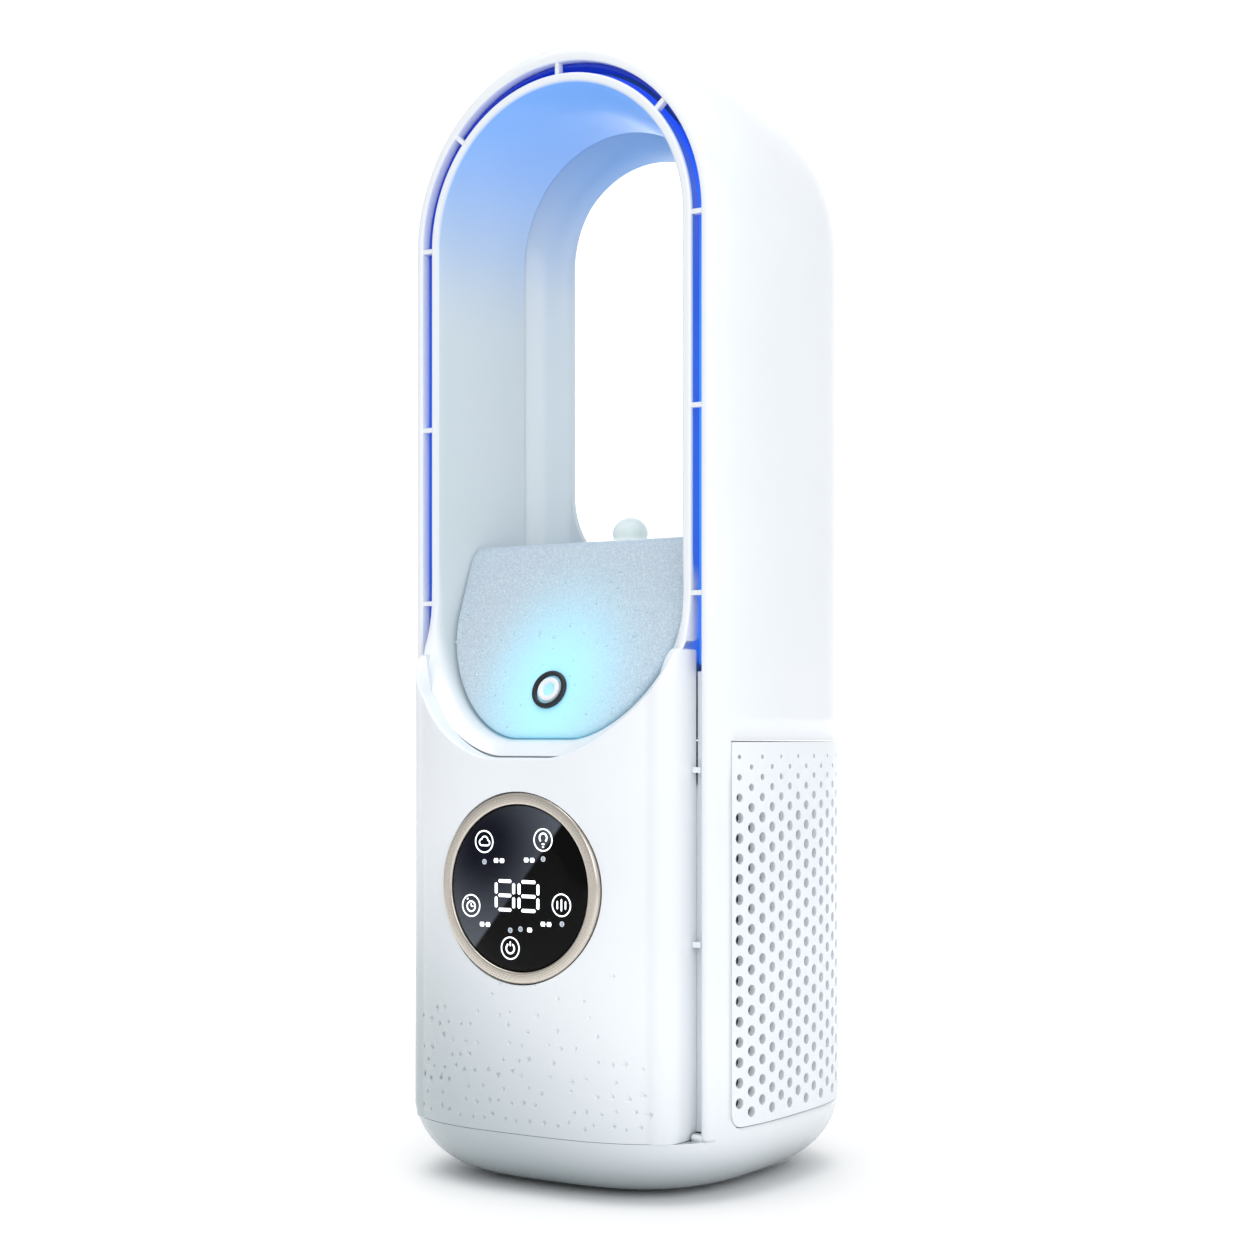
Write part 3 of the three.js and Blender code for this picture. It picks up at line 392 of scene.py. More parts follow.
def outer_shell():
    rim = rim_profile()
    strip = even_plan(-36.0, GRILLE_FRONT, 3)
    corner = even_plan(GRILLE_FRONT, GRILLE_FRONT + GRILLE_CORNER, 4)
    middle = even_plan(GRILLE_FRONT + GRILLE_CORNER, float(plan_y(ROLL_X)), 28)
    columns = rim + strip + corner[1:] + middle[1:]
    shares = [min(max((x - 50.6) / (plan_x(-36.0) - 50.6), 0), 1) for x, _ in rim]
    shares += [1.0] * (len(columns) - len(rim))

    def column(i, z):
        share = 1.0 if z < UNDERSIDE + BOWL else shares[i]
        return np.array([*columns[i], z]) * (1 - share) + share * np.array(on_body(*columns[i], z))

    ends = len(rim) + len(strip)
    skin = Skin()
    skin.sheet([[column(i, z) for i in range(ends)] for z in STRIP_ROWS])
    behind = range(ends - 1, len(columns))
    skin.sheet([[column(i, z) for i in behind] for z in LOW_ROWS])
    skin.sheet([[column(i, z) for i in behind] for z in HIGH_ROWS])

    # the round lower front corner of the grille opening
    arc = np.radians(np.linspace(180, 270, 9))
    centre_y, centre_z = GRILLE_FRONT + GRILLE_CORNER, GRILLE_BOTTOM + GRILLE_CORNER
    ring = [(centre_y + 4 * math.cos(a), centre_z + 4 * math.sin(a)) for a in arc]
    edge = [(columns[ends - 1][1], z) for z in (24.5, 22.5, 20.5)]
    edge += [(y, GRILLE_BOTTOM) for _, y in corner[1:]]
    spandrel = edge + ring[::-1][1:-1]
    skin.patch([on_body(float(plan_x(y)), y, z) for y, z in spandrel])

    # the back wall below the rear mouth
    roll_u = u_turn(ROLL_X, ROLL_BOTTOM, ROLL_RISE)
    back = [(x, float(plan_y(x)), z) for x, z in roll_u][::-1]
    share = (np.array(HIGH_ROWS[:6]) - BELT_Z) / (ROLL_TOP - BELT_Z)
    skin.sheet([[on_body(x, y, BELT_Z + s * (z - BELT_Z)) for x, y, z in back] for s in share])
    skin.sheet([[on_body(x, y, z) for x, y, _ in back] for z in LOW_ROWS])

    # the arch
    def on_arch(i, a):
        x, y = columns[i]
        stretch = 1 + (ARCH_STRETCH - 1) * shares[i]
        return [x * math.cos(a), y, ARCH_CENTRE + stretch * x * math.sin(a)]

    skin.sheet([[on_arch(i, a) for i in range(len(columns))] for a in ARCH])

    # the crest's three edges: roll, crest and throat, from the middle of the sill to the crown
    side = np.linspace(ROLL_TOP, ARCH_CENTRE, 5)[1:]

    def round_arch(x, y):
        over = [(x * math.cos(a), y, ARCH_CENTRE + ARCH_STRETCH * x * math.sin(a)) for a in ARCH[1:]]
        return [(x, y, z) for z in side] + over

    crest_u = u_turn(CREST_X, CREST_BOTTOM, CREST_RISE)
    crest = [(x, min(float(plan_y(x)), CREST_LIMIT), z) for x, z in crest_u]
    crest += round_arch(CREST_X, CREST_Y)
    roll = [(x, float(plan_y(x)), z) for x, z in roll_u]
    roll += round_arch(ROLL_X, float(plan_y(ROLL_X)))
    throat = outline(THROAT_RADIUS, THROAT_BOTTOM, THROAT_RISE, 2.0, THROAT_CENTRE, THROAT_Y)
    fading = np.linspace(1, 0, len(side) + 1)[1:]
    sinking = np.concatenate([np.ones(len(roll_u)), fading, np.zeros(len(ARCH) - 1)])
    crest, roll, throat = (np.array(v, float) for v in (crest, roll, throat))

    def mouth(deep):
        across = deep**0.93
        fall = (1 - sinking) * across + sinking * deep**1.05
        x = throat[:, 0] + (crest[:, 0] - throat[:, 0]) * across
        y = throat[:, 1] + (crest[:, 1] - throat[:, 1]) * deep
        z = throat[:, 2] + (crest[:, 2] - throat[:, 2]) * fall
        return np.stack([x, y, z], 1)

    inner_roll = mouth(0.92)
    t = np.linspace(0, 1, 6)[:, None, None]
    rolled = (1 - t) ** 2 * roll + 2 * t * (1 - t) * crest + t**2 * inner_roll
    sunk = rolled[:1] * np.array((1 - 0.5 / HALF_WIDTH, 1 - 0.5 / HALF_DEPTH, 1))
    duct = Skin()
    duct.sheet(np.concatenate([sunk, rolled]))
    duct.sheet([mouth(t) for t in (0.92, 0.84, 0.75, 0.65, 0.55, 0.45, 0.34, 0.23, 0.12, 0.04, 0.0)])

    # the bay that the tank stands in
    step = outline(31.7, THROAT_BOTTOM, THROAT_RISE, 2.0, 280.0, 15.2)
    bay_edges = ((31.75, 15.2), (36.62, -3.2))
    bay = [outline(r, SILL_Z, SILL_RISE, SILL_CURVE, ARCH_CENTRE, y) for r, y in bay_edges]
    duct.sheet([throat, np.array(step), np.array(bay[0]), np.array(bay[1])])

    # the bowl, from the base plate's edge up to the foot of the walls
    front = [(51.67, RIM_Y)] + [(x, -float(plan_y(x))) for x in np.linspace(SLIT_OUTER, 0, 18)]
    round_plan = front[::-1] + [(float(plan_x(GROOVE_BACK)), GROOVE_BACK)]
    round_plan += strip[1:] + corner[1:] + middle[1:]
    round_plan += [(x, y) for x, y, _ in back[1:]]
    small = [(x * BASE_HALF / HALF_WIDTH, y * BASE_HALF / HALF_DEPTH) for x, y in round_plan]
    rows = [[(x, y, z) for x, y in small] for z in (2.2, UNDERSIDE)]
    rise = np.arccos(1 - (LEDGE_Z - UNDERSIDE) / BOWL)
    for angle in np.linspace(0.0, rise, 12):
        z = UNDERSIDE + BOWL * (1 - math.cos(angle))
        rows.append([on_body(x, y, z) for x, y in round_plan])
    skin.sheet(rows)
    ledge = [on_body(x, y, LEDGE_Z) for x, y in front]
    skin.sheet([ledge, [(x, GROOVE_BACK, LEDGE_Z) for x, _, _ in ledge]])

    # the step that closes the foot of the groove
    arc = quarter(5)
    soft, low = 0.7, 18.9
    step = [(RIM_Y, LEDGE_Z), (RIM_Y, low)]
    step += [(RIM_Y + soft - soft * math.cos(a), low + soft * math.sin(a)) for a in arc]
    step += [(-35.6, low + soft), (-35.6, LEDGE_Z)]
    skin.sheet([[(x, y, z) for y, z in step] for x in (GROOVE_IN, GROOVE_OUT)])
    skin.patch([(GROOVE_IN, y, z) for y, z in step])
    skin.mirror()
    duct.mirror()
    shell = skin.mesh("outer_shell_skin", [white_gloss_painted_shade], 30, (58, 0, 200))
    lining = duct.mesh("rear_duct_skin", [duct_plastic], 30, (44, 47, 240))
    return thicken(shell, 1.2), thicken(lining, 1.2)


def outline(radius, bottom, rise, exponent, centre, y):
    points = [(0.0, bottom), (5.0, bottom)]
    for a in U_TURN:
        x = FLAT + (radius - FLAT) * math.sin(a) ** (2 / exponent)
        points.append((x, bottom + rise * (1 - math.cos(a) ** (2 / exponent))))
    points += [(radius, z) for z in np.linspace(bottom + rise, centre, 5)[1:]]
    points += [(radius * math.cos(a), centre + radius * math.sin(a)) for a in ARCH[1:]]
    return [(x, y, z) for x, z in points]


shell, duct = outer_shell()
mount(shell, "body", "white_plastic", "outer_shell")
mount(duct, "body", "white_plastic", "rear_duct")
print("shell points:", len(shell.data.vertices), "duct points:", len(duct.data.vertices))

# %% [markdown]
# The tunnel wall is lit from the slit behind it; that light is painted on the white plastic as
# blue and a weak glow near the crown, with pale grey shade painted towards the tank. Inside the slit
# the lamps' light is painted deep blue on the ring's outer wall. The finish blends the rim's white,
# that painted wall and the painted blue with a share stored on the points.

# %% Finish of the tunnel ring
def ring_finish():
    finish = Finish("tunnel ring plastic, blue lit", Coat_Weight=0.3, Coat_Roughness=0.1)
    position, (x, y, z) = finish.place()
    share = finish.node("ShaderNodeAttribute", {"attribute_name": "share"}, out=2)
    high = z.ramp(252.0, 326.0)
    cloud = finish.noise(position, 14.0, 2.0)
    # painted light and shade: pale grey low in the tunnel, blue near the crown
    wall = finish.mix(high, rgb("D6DFE2"), rgb("72A6E8"))
    white = finish.mix(cloud, rgb("E9EEF3"), rgb("F5F8FB"))
    painted_slit_light_share = share.ramp(1.05, 1.9)
    # painted light: the lamps' blue on the ring's outer wall inside the slit
    outside = finish.mix(z.ramp(235.0, 318.0), rgb("3E86E6"), rgb("1C3FC0"))
    wall_with_painted_light = finish.mix(share, white, wall)
    finish.set(Base_Color=finish.mix(painted_slit_light_share, wall_with_painted_light, outside), Roughness=0.25)
    # a painted glow of the lamps' light on the tunnel wall
    glow = finish.mix(high, rgb("9FB4C0"), rgb("2C74D0"))
    finish.set(Emission_Color=finish.mix(share * (0.1 + 0.9 * high), rgb("000000"), glow))
    finish.set(Emission_Strength=0.3)
    return finish.material


ring_plastic = ring_finish()

# %% [markdown]
# The ring is the front half of the tunnel. Its front edge is the slit's inner edge. At the sill the
# ring leans forward and widens into a lip that meets the front panel. It is built as one section
# that is carried round the loop, with both front edges rounded.

# %% Tunnel ring
SLIT_INNER, RING_INNER, JOIN_RADIUS, JOIN_Y, RING_WALL = 46.1, 43.4, 36.7, -3.5, 1.8
SWEEP_TOP, SEAM_TOP, SILL_LEAN = 171.5, 154.0, 8.4


def inner_edge_y(z):
    share = min(max((SWEEP_TOP - z) / (SWEEP_TOP - SILL_Z), 0), 1)
    return RIM_Y - SILL_LEAN * share**2


def outer_edge_y(x, z):
    on_seam = -(HALF_DEPTH - 4.5) * (1 - (min(x, 44.0) / HALF_WIDTH) ** 3) ** (1 / 3)
    if z <= SEAM_TOP:
        return on_seam
    share = min(max((SWEEP_TOP - z) / (SWEEP_TOP - SEAM_TOP), 0), 1)
    return RIM_Y + (on_seam - RIM_Y) * share**2


def smooth_loop(radius, bottom, rise, exponent, y=0.0):
    points = [(x, bottom) for x in (0.0, 2.5, 5.0, 7.5)]
    for a in quarter(31):
        x = FLAT + (radius - FLAT) * math.sin(a) ** (2 / exponent)
        points.append((x, bottom + rise * (1 - max(math.cos(a), 0) ** (2 / exponent))))
    points += [(radius, z) for z in np.linspace(bottom + rise, 184.0, 9)[1:]]
    points += [(radius, z) for z in np.linspace(184.0, ARCH_CENTRE, 5)[1:]]
    points += [(radius * math.cos(a), ARCH_CENTRE + radius * math.sin(a)) for a in quarter(46)[1:]]
    return [np.array((x, y, z)) for x, z in points]


def towards(start, end, distance):
    step = end - start
    return start + step / np.linalg.norm(step) * distance


def tunnel_ring():
    inner = smooth_loop(RING_INNER, SILL_Z, SILL_RISE, SILL_CURVE)
    outer = smooth_loop(SLIT_INNER, 125.4, 32.6, 1.6)
    rear = smooth_loop(JOIN_RADIUS, SILL_Z, SILL_RISE, SILL_CURVE, JOIN_Y)
    rear_out = smooth_loop(JOIN_RADIUS + RING_WALL, 128.5, 39.5, SILL_CURVE, JOIN_Y)
    flange = smooth_loop(SLIT_INNER, 121.9, 36.1, 1.6)
    rows, shares = [], []
    for a, b, c, d, f in zip(inner, outer, rear, rear_out, flange):
        a = np.array((a[0], inner_edge_y(a[2]), a[2]))
        b = np.array((b[0], outer_edge_y(b[0], b[2]), b[2]))
        low = b[2] < 158.0
        behind = np.array((min(f[0], 43.1) if low else f[0], b[1] + 0.3, f[2]))
        width = np.linalg.norm(b - a)
        soft = min(0.33 * width, 2.6)
        hard = min(0.3 * width, 1.0)
        wall = [c + (a - c) * t for t in np.linspace(0, 1, 10)[:-1]]
        turn = bezier(towards(a, c, soft), a, towards(a, b, soft), 5)
        last = bezier(towards(b, a, hard), b, b + np.array((0, hard, 0)), 5)
        reach = max(2.5 + hard, -36.8 - behind[1]) if b[2] > 149.5 else 2.5 + hard
        back = [behind + np.array((0, 0.5 + hard, 0)), behind + np.array((0, reach, 0))]
        rows.append([*wall, *turn, *last, *back, d, c])
        # painted light: a share above one on the last points paints the lamps' deep blue on the ring's
        # outer wall
        painted_lamp_light = 2.0 * min(max((b[2] - 162.0) / 20.0, 0.0), 1.0)
        shares.append([1.0] * 9 + [1.0, 0.8, 0.55, 0.3, 0.1, 0.0] + [0.0] * 6 + [painted_lamp_light] * 3 + [1.0])
    skin = Skin()
    skin.sheet(rows, np.array(shares))
    skin.mirror()
    return skin.mesh("tunnel_ring_skin", [ring_plastic], 38)


ring = mount(tunnel_ring(), "body", "white_plastic", "nozzle_ring")
print("tunnel ring points:", len(ring.data.vertices))

# %% [markdown]
# Repeated details are node groups with named sizes. They are built once with their numbers and
# then turned into plain meshes, so each skin stays one mesh that rides on one body.

# %% Tools for repeats
def group(name, sizes):
    made = bpy.data.node_groups.new(name, "GeometryNodeTree")
    kinds = {float: "NodeSocketFloat", int: "NodeSocketInt", bpy.types.Material: "NodeSocketMaterial"}
    kinds[bpy.types.Object] = "NodeSocketObject"
    made.interface.new_socket("Geometry", in_out="INPUT", socket_type="NodeSocketGeometry")
    made.interface.new_socket("Geometry", in_out="OUTPUT", socket_type="NodeSocketGeometry")
    for key, value in sizes.items():
        kind = next(k for t, k in kinds.items() if isinstance(value, t))
        made.interface.new_socket(key, in_out="INPUT", socket_type=kind)
    tree = Tree(made)
    source = made.nodes.new("NodeGroupInput")
    ends = {s.name: Value(tree, s) for s in source.outputs if s.name}
    return tree, ends


def finish_group(tree, result, material):
    real = tree.node("GeometryNodeRealizeInstances", None, {0: result})
    painted = tree.node("GeometryNodeSetMaterial", None, {0: real, 2: material})
    target = tree.tree.nodes.new("NodeGroupOutput")
    tree.tree.links.new(painted.socket, target.inputs[0])


def settle(made, sharp):
    """Turns the modifier's result into the piece's own mesh."""
    bpy.context.view_layer.update()
    evaluated = made.evaluated_get(bpy.context.evaluated_depsgraph_get())
    settled = bpy.data.meshes.new_from_object(evaluated)
    made.modifiers.clear()
    made.data = settled
    settled.shade_smooth()
    settled.set_sharp_from_angle(angle=math.radians(sharp))


def run_group(made, tree, sizes, sharp=32.0):
    modifier = made.modifiers.new(tree.tree.name, "NODES")
    modifier.node_group = tree.tree
    for item in tree.tree.interface.items_tree:
        if item.in_out == "INPUT" and item.name in sizes:
            modifier[item.identifier] = sizes[item.name]
    settle(made, sharp)
    print(made.name, "after", tree.tree.name, "has", len(made.data.polygons), "faces")
    return made


def subtract(tree, geometry, instances):
    """Cuts every instance out of a closed mesh in one go."""
    solid = tree.node("GeometryNodeRealizeInstances", None, {0: instances})
    settings = {"operation": "DIFFERENCE", "solver": "MANIFOLD"}
    return tree.node("GeometryNodeMeshBoolean", settings, {0: geometry, 1: solid})


# %% [markdown]
# The front panel is one curved moulding that snaps over the frame. Its top edge is cut to the
# tunnel's seam. Small slanted pits are pressed into its face, few at the level of the display and
# many near the foot. The panel is drawn as a closed wall with softened edges, then the display's
# hole and the pits are cut out of it.

# %% Front panel
PANEL_BOTTOM, PANEL_BACK, PANEL_WALL, EDGE_ROUND, LIP = 17.8, -35.7, 2.4, 7.0, 2.1
DISPLAY_Z, BEZEL_RADIUS = 87.9, 27.3


def seam_z(x):
    share = np.clip((np.abs(x) - FLAT) / 36.4, 0, 1)
    cosine = np.sqrt(1 - share**1.6)
    return 125.1 + 32.9 * (1 - cosine**1.25)


def panel_section():
    start = SLIT_INNER - 0.9 * EDGE_ROUND
    face = [(x, -float(plan_y(x))) for x in np.linspace(0, start, 30)]
    x0, y0 = face[-1]
    centre_y = y0 + EDGE_ROUND
    turn = quarter(13)[1:]
    reach = SLIT_INNER - x0
    face += [(x0 + reach * math.sin(a), centre_y - EDGE_ROUND * math.cos(a)) for a in turn]
    face += [(SLIT_INNER, y) for y in np.linspace(centre_y, PANEL_BACK, 6)[1:]]
    return np.array(face)


def front_panel():
    face = panel_section()
    inward = inward_normals(face)
    inward[0] = (0, 1)
    tops = seam_z(face[:, 0])
    soft, foot = 0.9, 0.15
    roll = quarter(5)

    def level(depth, height):
        """One row of points round the panel, at a depth behind its face and at a height."""
        depths, heights = (np.broadcast_to(v, len(face)) for v in (depth, height))
        points = zip(face[:, 0] + inward[:, 0] * depths, face[:, 1] + inward[:, 1] * depths, heights)
        return [on_body(x, y, z) for x, y, z in points]

    rows = [level(PANEL_WALL, PANEL_BOTTOM)]
    rows += [level(foot * (1 - math.cos(a)), PANEL_BOTTOM + foot * (1 - math.sin(a))) for a in roll[::-1]]
    low, high = PANEL_BOTTOM + foot, tops - soft
    rows += [level(0.0, low + (high - low) * share) for share in np.linspace(0, 1, 34)[1:-1]]
    rows += [level(soft * (1 - math.cos(a)), tops - soft * (1 - math.sin(a))) for a in roll]
    lip = PANEL_WALL + LIP * np.clip(inward[:, 1], 0, 1)
    rows += [level(lip, tops - drop) for drop in (0.0, 1.0)]
    inside = (0.985, 0.66, 0.33, 0.0)
    rows += [level(PANEL_WALL, PANEL_BOTTOM + (tops - PANEL_BOTTOM) * share) for share in inside]
    skin = Skin()
    skin.sheet(rows)
    skin.patch([row[-1] for row in rows[:-1]])
    skin.mirror()
    return skin.mesh("front_panel_skin", [white_gloss_painted_shade], 30)


PIT_FOOT, FOOT_SHARE, SHARE_LOSS = 22.0, 0.92, 0.0195


def pit_mesh():
    """One pressed pit: a short slanted wedge, deepest in its middle."""
    made = Skin()
    tips = [(-1.0, 0.0, 0.3), (0.0, 0.0, 1.35), (1.0, 0.0, 0.3), (0.0, 0.0, -1.05)]
    outer = [(x * 1.6, -0.6, z * 1.6) for x, _, z in tips]
    bottom = (0.05, 0.75, 0.1)
    for i in range(4):
        made.patch([outer[i], outer[(i + 1) % 4], bottom])
    made.patch(outer)
    return made.mesh("pit_cutter", [white_gloss_painted_shade])


def pits_tree():
    """Rows of pits over the panel's face; a pit is kept where a random value is under its share."""
    sizes = {"Pit": pit, "Plastic": white_gloss_painted_shade, "Columns": 19, "Rows": 11}
    sizes |= {"Step": 4.3, "Foot": PIT_FOOT, "Seed": 7}
    tree, ends = group("pressed pits", sizes)
    index = tree.node("GeometryNodeInputIndex")
    count = ends["Columns"] * ends["Rows"]
    line = tree.node("GeometryNodeMeshLine", {"mode": "OFFSET"}, {"Count": count})
    row = (index / ends["Columns"]).math("FLOOR")
    column = index - row * ends["Columns"]
    odd = row.math("MODULO", 2.0)

    def rand(key, low, high):
        return tree.random(low, high, index, ends["Seed"] + key)

    jitter = rand(1, -0.9, 0.9)
    x = (column - (ends["Columns"] - 1.0) * 0.5 + odd * 0.5) * ends["Step"] + jitter
    z = ends["Foot"] + row * ends["Step"] + rand(2, -0.9, 0.9)
    share = 1 - ((x / HALF_WIDTH).math("ABSOLUTE")) ** 3.0
    y = -HALF_DEPTH * share ** (1 / 3)
    keep = rand(3, 0.0, 1.0) < FOOT_SHARE - (z - PIT_FOOT) * SHARE_LOSS
    place = tree.vector(x * MM, y * MM, z * MM)
    spots = tree.node("GeometryNodeSetPosition", None, {0: line, 2: place})
    kept = tree.node("GeometryNodeDeleteGeometry", {"domain": "POINT"}, {0: spots, 1: 1 - keep})
    source = tree.node("GeometryNodeObjectInfo", None, {0: ends["Pit"]}, out=4)
    slope = (x / HALF_WIDTH) ** 2.0
    turn = (x > 0.0) * 2.0 - 1.0
    spin = tree.vector(0.0, rand(4, -0.5, 0.5), turn * slope * 0.9)
    sockets = {0: kept, 2: source, 5: spin, 6: rand(5, 0.75, 1.1)}
    pits = tree.node("GeometryNodeInstanceOnPoints", None, sockets)
    cut = subtract(tree, ends["Geometry"], pits)
    finish_group(tree, cut, ends["Plastic"])
    return tree, sizes


def cut_with(made, cutter, sharp=32.0):
    """Cuts one closed mesh out of another and removes the cutter."""
    saw = made.modifiers.new("cut", "BOOLEAN")
    saw.operation = "DIFFERENCE"
    saw.solver = "MANIFOLD"
    saw.object = cutter
    settle(made, sharp)
    bpy.data.objects.remove(cutter)
    return made


def lathe(name, profile, materials, place=(0, 0, 0), tilt=0.0, sides=96):
    """Turns a profile of (radius, height) about an axis that points along -Y, tilted up by tilt."""
    sine, cosine = math.sin(tilt), math.cos(tilt)
    rows = []
    for a in np.radians(np.linspace(0, 360, sides + 1)):
        row = []
        for radius, height in profile:
            x, z = radius * math.cos(a), radius * math.sin(a)
            y, z = z * sine - height * cosine, height * sine + z * cosine
            row.append((place[0] + x, place[1] + y, place[2] + z))
        rows.append(row)
    skin = Skin()
    skin.sheet(rows)
    return skin.mesh(name, materials)


panel = front_panel()
hole_radius = BEZEL_RADIUS + 0.3
hole_profile = [(0, 62), (hole_radius, 62), (hole_radius, 45), (0, 45)]
hole = lathe("display_cutter", hole_profile, [white_gloss_painted_shade], (0, 0, DISPLAY_Z))
cut_with(panel, hole)
pit = pit_mesh()
pits, pit_sizes = pits_tree()
run_group(panel, pits, pit_sizes)
bpy.data.objects.remove(pit)
mount(panel, "body", "white_plastic", "front_panel")

# %% [markdown]
# The side and back grille is one thin curved sheet with rounded lower front corners. Air comes in
# through staggered columns of round holes. The first rows from the top are punched smaller. The
# holes are cylinders set along the sheet's plan by a node group and cut out in one go.

# %% Perforated intake grille
GRILLE_GAP, GRILLE_WALL = 0.3, 2.0
PORT_Z = 30.0


def grille_columns():
    front = GRILLE_FRONT + GRILLE_GAP
    near = even_plan(front, front + 3.7, 7)
    far = even_plan(front + 3.7, 50.0, 44)
    back = [(x, float(plan_y(x))) for x in np.linspace(far[-1][0], 0, 22)]
    return near + far[1:] + back[1:]


def grille_sheet():
    columns = np.array(grille_columns())
    inward = inward_normals(columns)
    inward[-1] = (0, -1)
    centre_y, radius = GRILLE_FRONT + GRILLE_CORNER, GRILLE_CORNER - GRILLE_GAP
    reaches = [min(max(centre_y - y, 0), radius) for _, y in columns]
    corner_z = GRILLE_BOTTOM + GRILLE_CORNER
    low_edge = [corner_z - math.sqrt(max(radius**2 - reach**2, 0)) for reach in reaches]
    top = GRILLE_TOP - GRILLE_GAP
    soft = 0.35

    def level(heights, depth, edge):
        points = [
            on_body(x + n[0] * depth, y + n[1] * depth, z + edge)
            for (x, y), n, z in zip(columns, inward, heights)
        ]
        return [(max(x, 0.0), y, z) for x, y, z in points]

    rim = ((GRILLE_WALL, 0.0), (soft, 0.0), (0.1, 0.1), (0.0, soft))
    placed = [level(low_edge, depth, edge) for depth, edge in rim]
    for share in (0.15, 0.4, 0.7):
        placed.append(level([low + (top - low) * share for low in low_edge], 0.0, 0.0))
    placed += [level([top] * len(columns), depth, -edge) for depth, edge in rim[::-1]]
    placed.append(placed[0])
    skin = Skin()
    skin.sheet(placed)
    skin.patch([row[0] for row in placed[:-1]])
    skin.mirror()
    return skin.mesh("intake_grille_skin", [white_satin], 30)


def plan_guide():
    """A line along the middle of the sheet's thickness, from the right front edge round the back."""
    points = grille_columns()
    points += [(-x, y) for x, y in points[-2::-1]]
    scale = 1 - 1.0 / HALF_WIDTH
    made = bpy.data.meshes.new("plan guide")
    edges = [(i, i + 1) for i in range(len(points) - 1)]
    made.from_pydata([(x * scale * MM, y * scale * MM, 0.0) for x, y in points], edges, [])
    return add_object("plan_guide", made)


def perforation_tree(guide):
    sizes = {"Guide": guide, "Plastic": white_satin, "Columns": 60, "Rows": 18}
    sizes |= {"First column": 2.7, "Column pitch": 4.98, "Row pitch": 5.75, "Top row": 125.4}
    sizes |= {"Hole radius": 1.55, "Smallest radius": 0.65}
    tree, ends = group("staggered round perforations", sizes)
    index = tree.node("GeometryNodeInputIndex")
    line = tree.node("GeometryNodeMeshLine", {"mode": "OFFSET"}, {"Count": ends["Columns"] * ends["Rows"]})
    column = (index / ends["Rows"]).math("FLOOR")
    row = index - column * ends["Rows"]
    path = tree.node("GeometryNodeObjectInfo", None, {0: ends["Guide"]}, out=4)
    curve = tree.node("GeometryNodeMeshToCurve", None, {0: path})
    run = (ends["First column"] + column * ends["Column pitch"]) * MM
    sample = tree.tree.nodes.new("GeometryNodeSampleCurve")
    sample.mode = "LENGTH"
    tree.tree.links.new(curve.socket, sample.inputs["Curves"])
    tree.tree.links.new(run.socket, sample.inputs["Length"])
    position, tangent = Value(tree, sample.outputs[1]), Value(tree, sample.outputs[2])
    x, y, _ = tree.split(position)
    tx, ty, _ = tree.split(tangent)
    shift = column.math("MODULO", 2.0) * 0.5
    z = ends["Top row"] - (row + shift) * ends["Row pitch"]
    spots = tree.node("GeometryNodeSetPosition", None, {0: line, 2: tree.vector(x, y, z * MM)})
    at_port = (x.math("ABSOLUTE") < 8.0 * MM) * (z < PORT_Z + 5.0) * (y > 0.0)
    kept = tree.node(
        "GeometryNodeDeleteGeometry", {"domain": "POINT"}, {0: spots, 1: (at_port + (z < 24.0)) > 0.5}
    )
    growth = (row + shift) / 3.0
    spread = ends["Hole radius"] - ends["Smallest radius"]
    radius = growth.math("MINIMUM", 1.0) * spread + ends["Smallest radius"]
    outward = tree.vector(ty, tx * -1.0, 0.0)
    turn = tree.node("FunctionNodeAlignRotationToVector", {"axis": "Z"}, {"Vector": outward})
    sockets = {"Vertices": 14, "Radius": 1.0 * MM, "Depth": 7.0 * MM}
    drill = tree.node("GeometryNodeMeshCylinder", None, sockets)
    scale = tree.vector(radius, radius, 1.0)
    sockets = {0: kept, 2: drill, 5: turn, 6: scale}
    drills = tree.node("GeometryNodeInstanceOnPoints", None, sockets)
    cut = subtract(tree, ends["Geometry"], drills)
    finish_group(tree, cut, ends["Plastic"])
    return tree, sizes


grille = grille_sheet()
guide = plan_guide()
perforations, perforation_sizes = perforation_tree(guide)
run_group(grille, perforations, perforation_sizes)
bpy.data.objects.remove(guide)


def rounded_slot(name, width, height, corner, front, back, z, material):
    """A closed block that faces the back, with rounded corners."""
    ring = []
    for cx, cz, start in ((1, 1, 0), (-1, 1, 90), (-1, -1, 180), (1, -1, 270)):
        for a in np.radians(np.linspace(start, start + 90, 6)):
            x, up = cx * (width - corner), cz * (height - corner)
            ring.append((x + corner * math.cos(a), z + up + corner * math.sin(a)))
    made = Skin()
    made.sheet([[(x, y, z2) for x, z2 in ring + ring[:1]] for y in (front, back)])
    for y in (front, back):
        made.patch([(x, y, z2) for x, z2 in ring])
    return made.mesh(name, [material])


cut_with(grille, rounded_slot("port_cutter", 5.5, 2.5, 1.2, 50, 64, PORT_Z, white_satin))
mount(grille, "body", "white_plastic", "intake_grille")

# %% [markdown]
# The round display sits in a spun metal trim. Spinning leaves fine rings round the trim, drawn as a
# ripple in the gloss that follows the distance from the display's centre.

# %% Display trim
def spun_metal():
    finish = Finish("spun champagne silver", Metallic=1.0, Specular_IOR_Level=0.5)
    position, (x, y, z) = finish.place()
    away = (x * x + (z - DISPLAY_Z) * (z - DISPLAY_Z)) ** 0.5
    rings = (away * 9.0).math("SINE") * 0.5 + 0.5
    streak = finish.noise(finish.vector(away * 6.0, 0.0, 0.0), 1.0, 3.0)
    finish.set(
        Base_Color=finish.mix(streak, rgb("C9BFB2"), rgb("E2DCD3")),
        Roughness=0.24 + 0.1 * rings,
    )
    finish.relief(rings, 0.01, 0.3)
    return finish.material


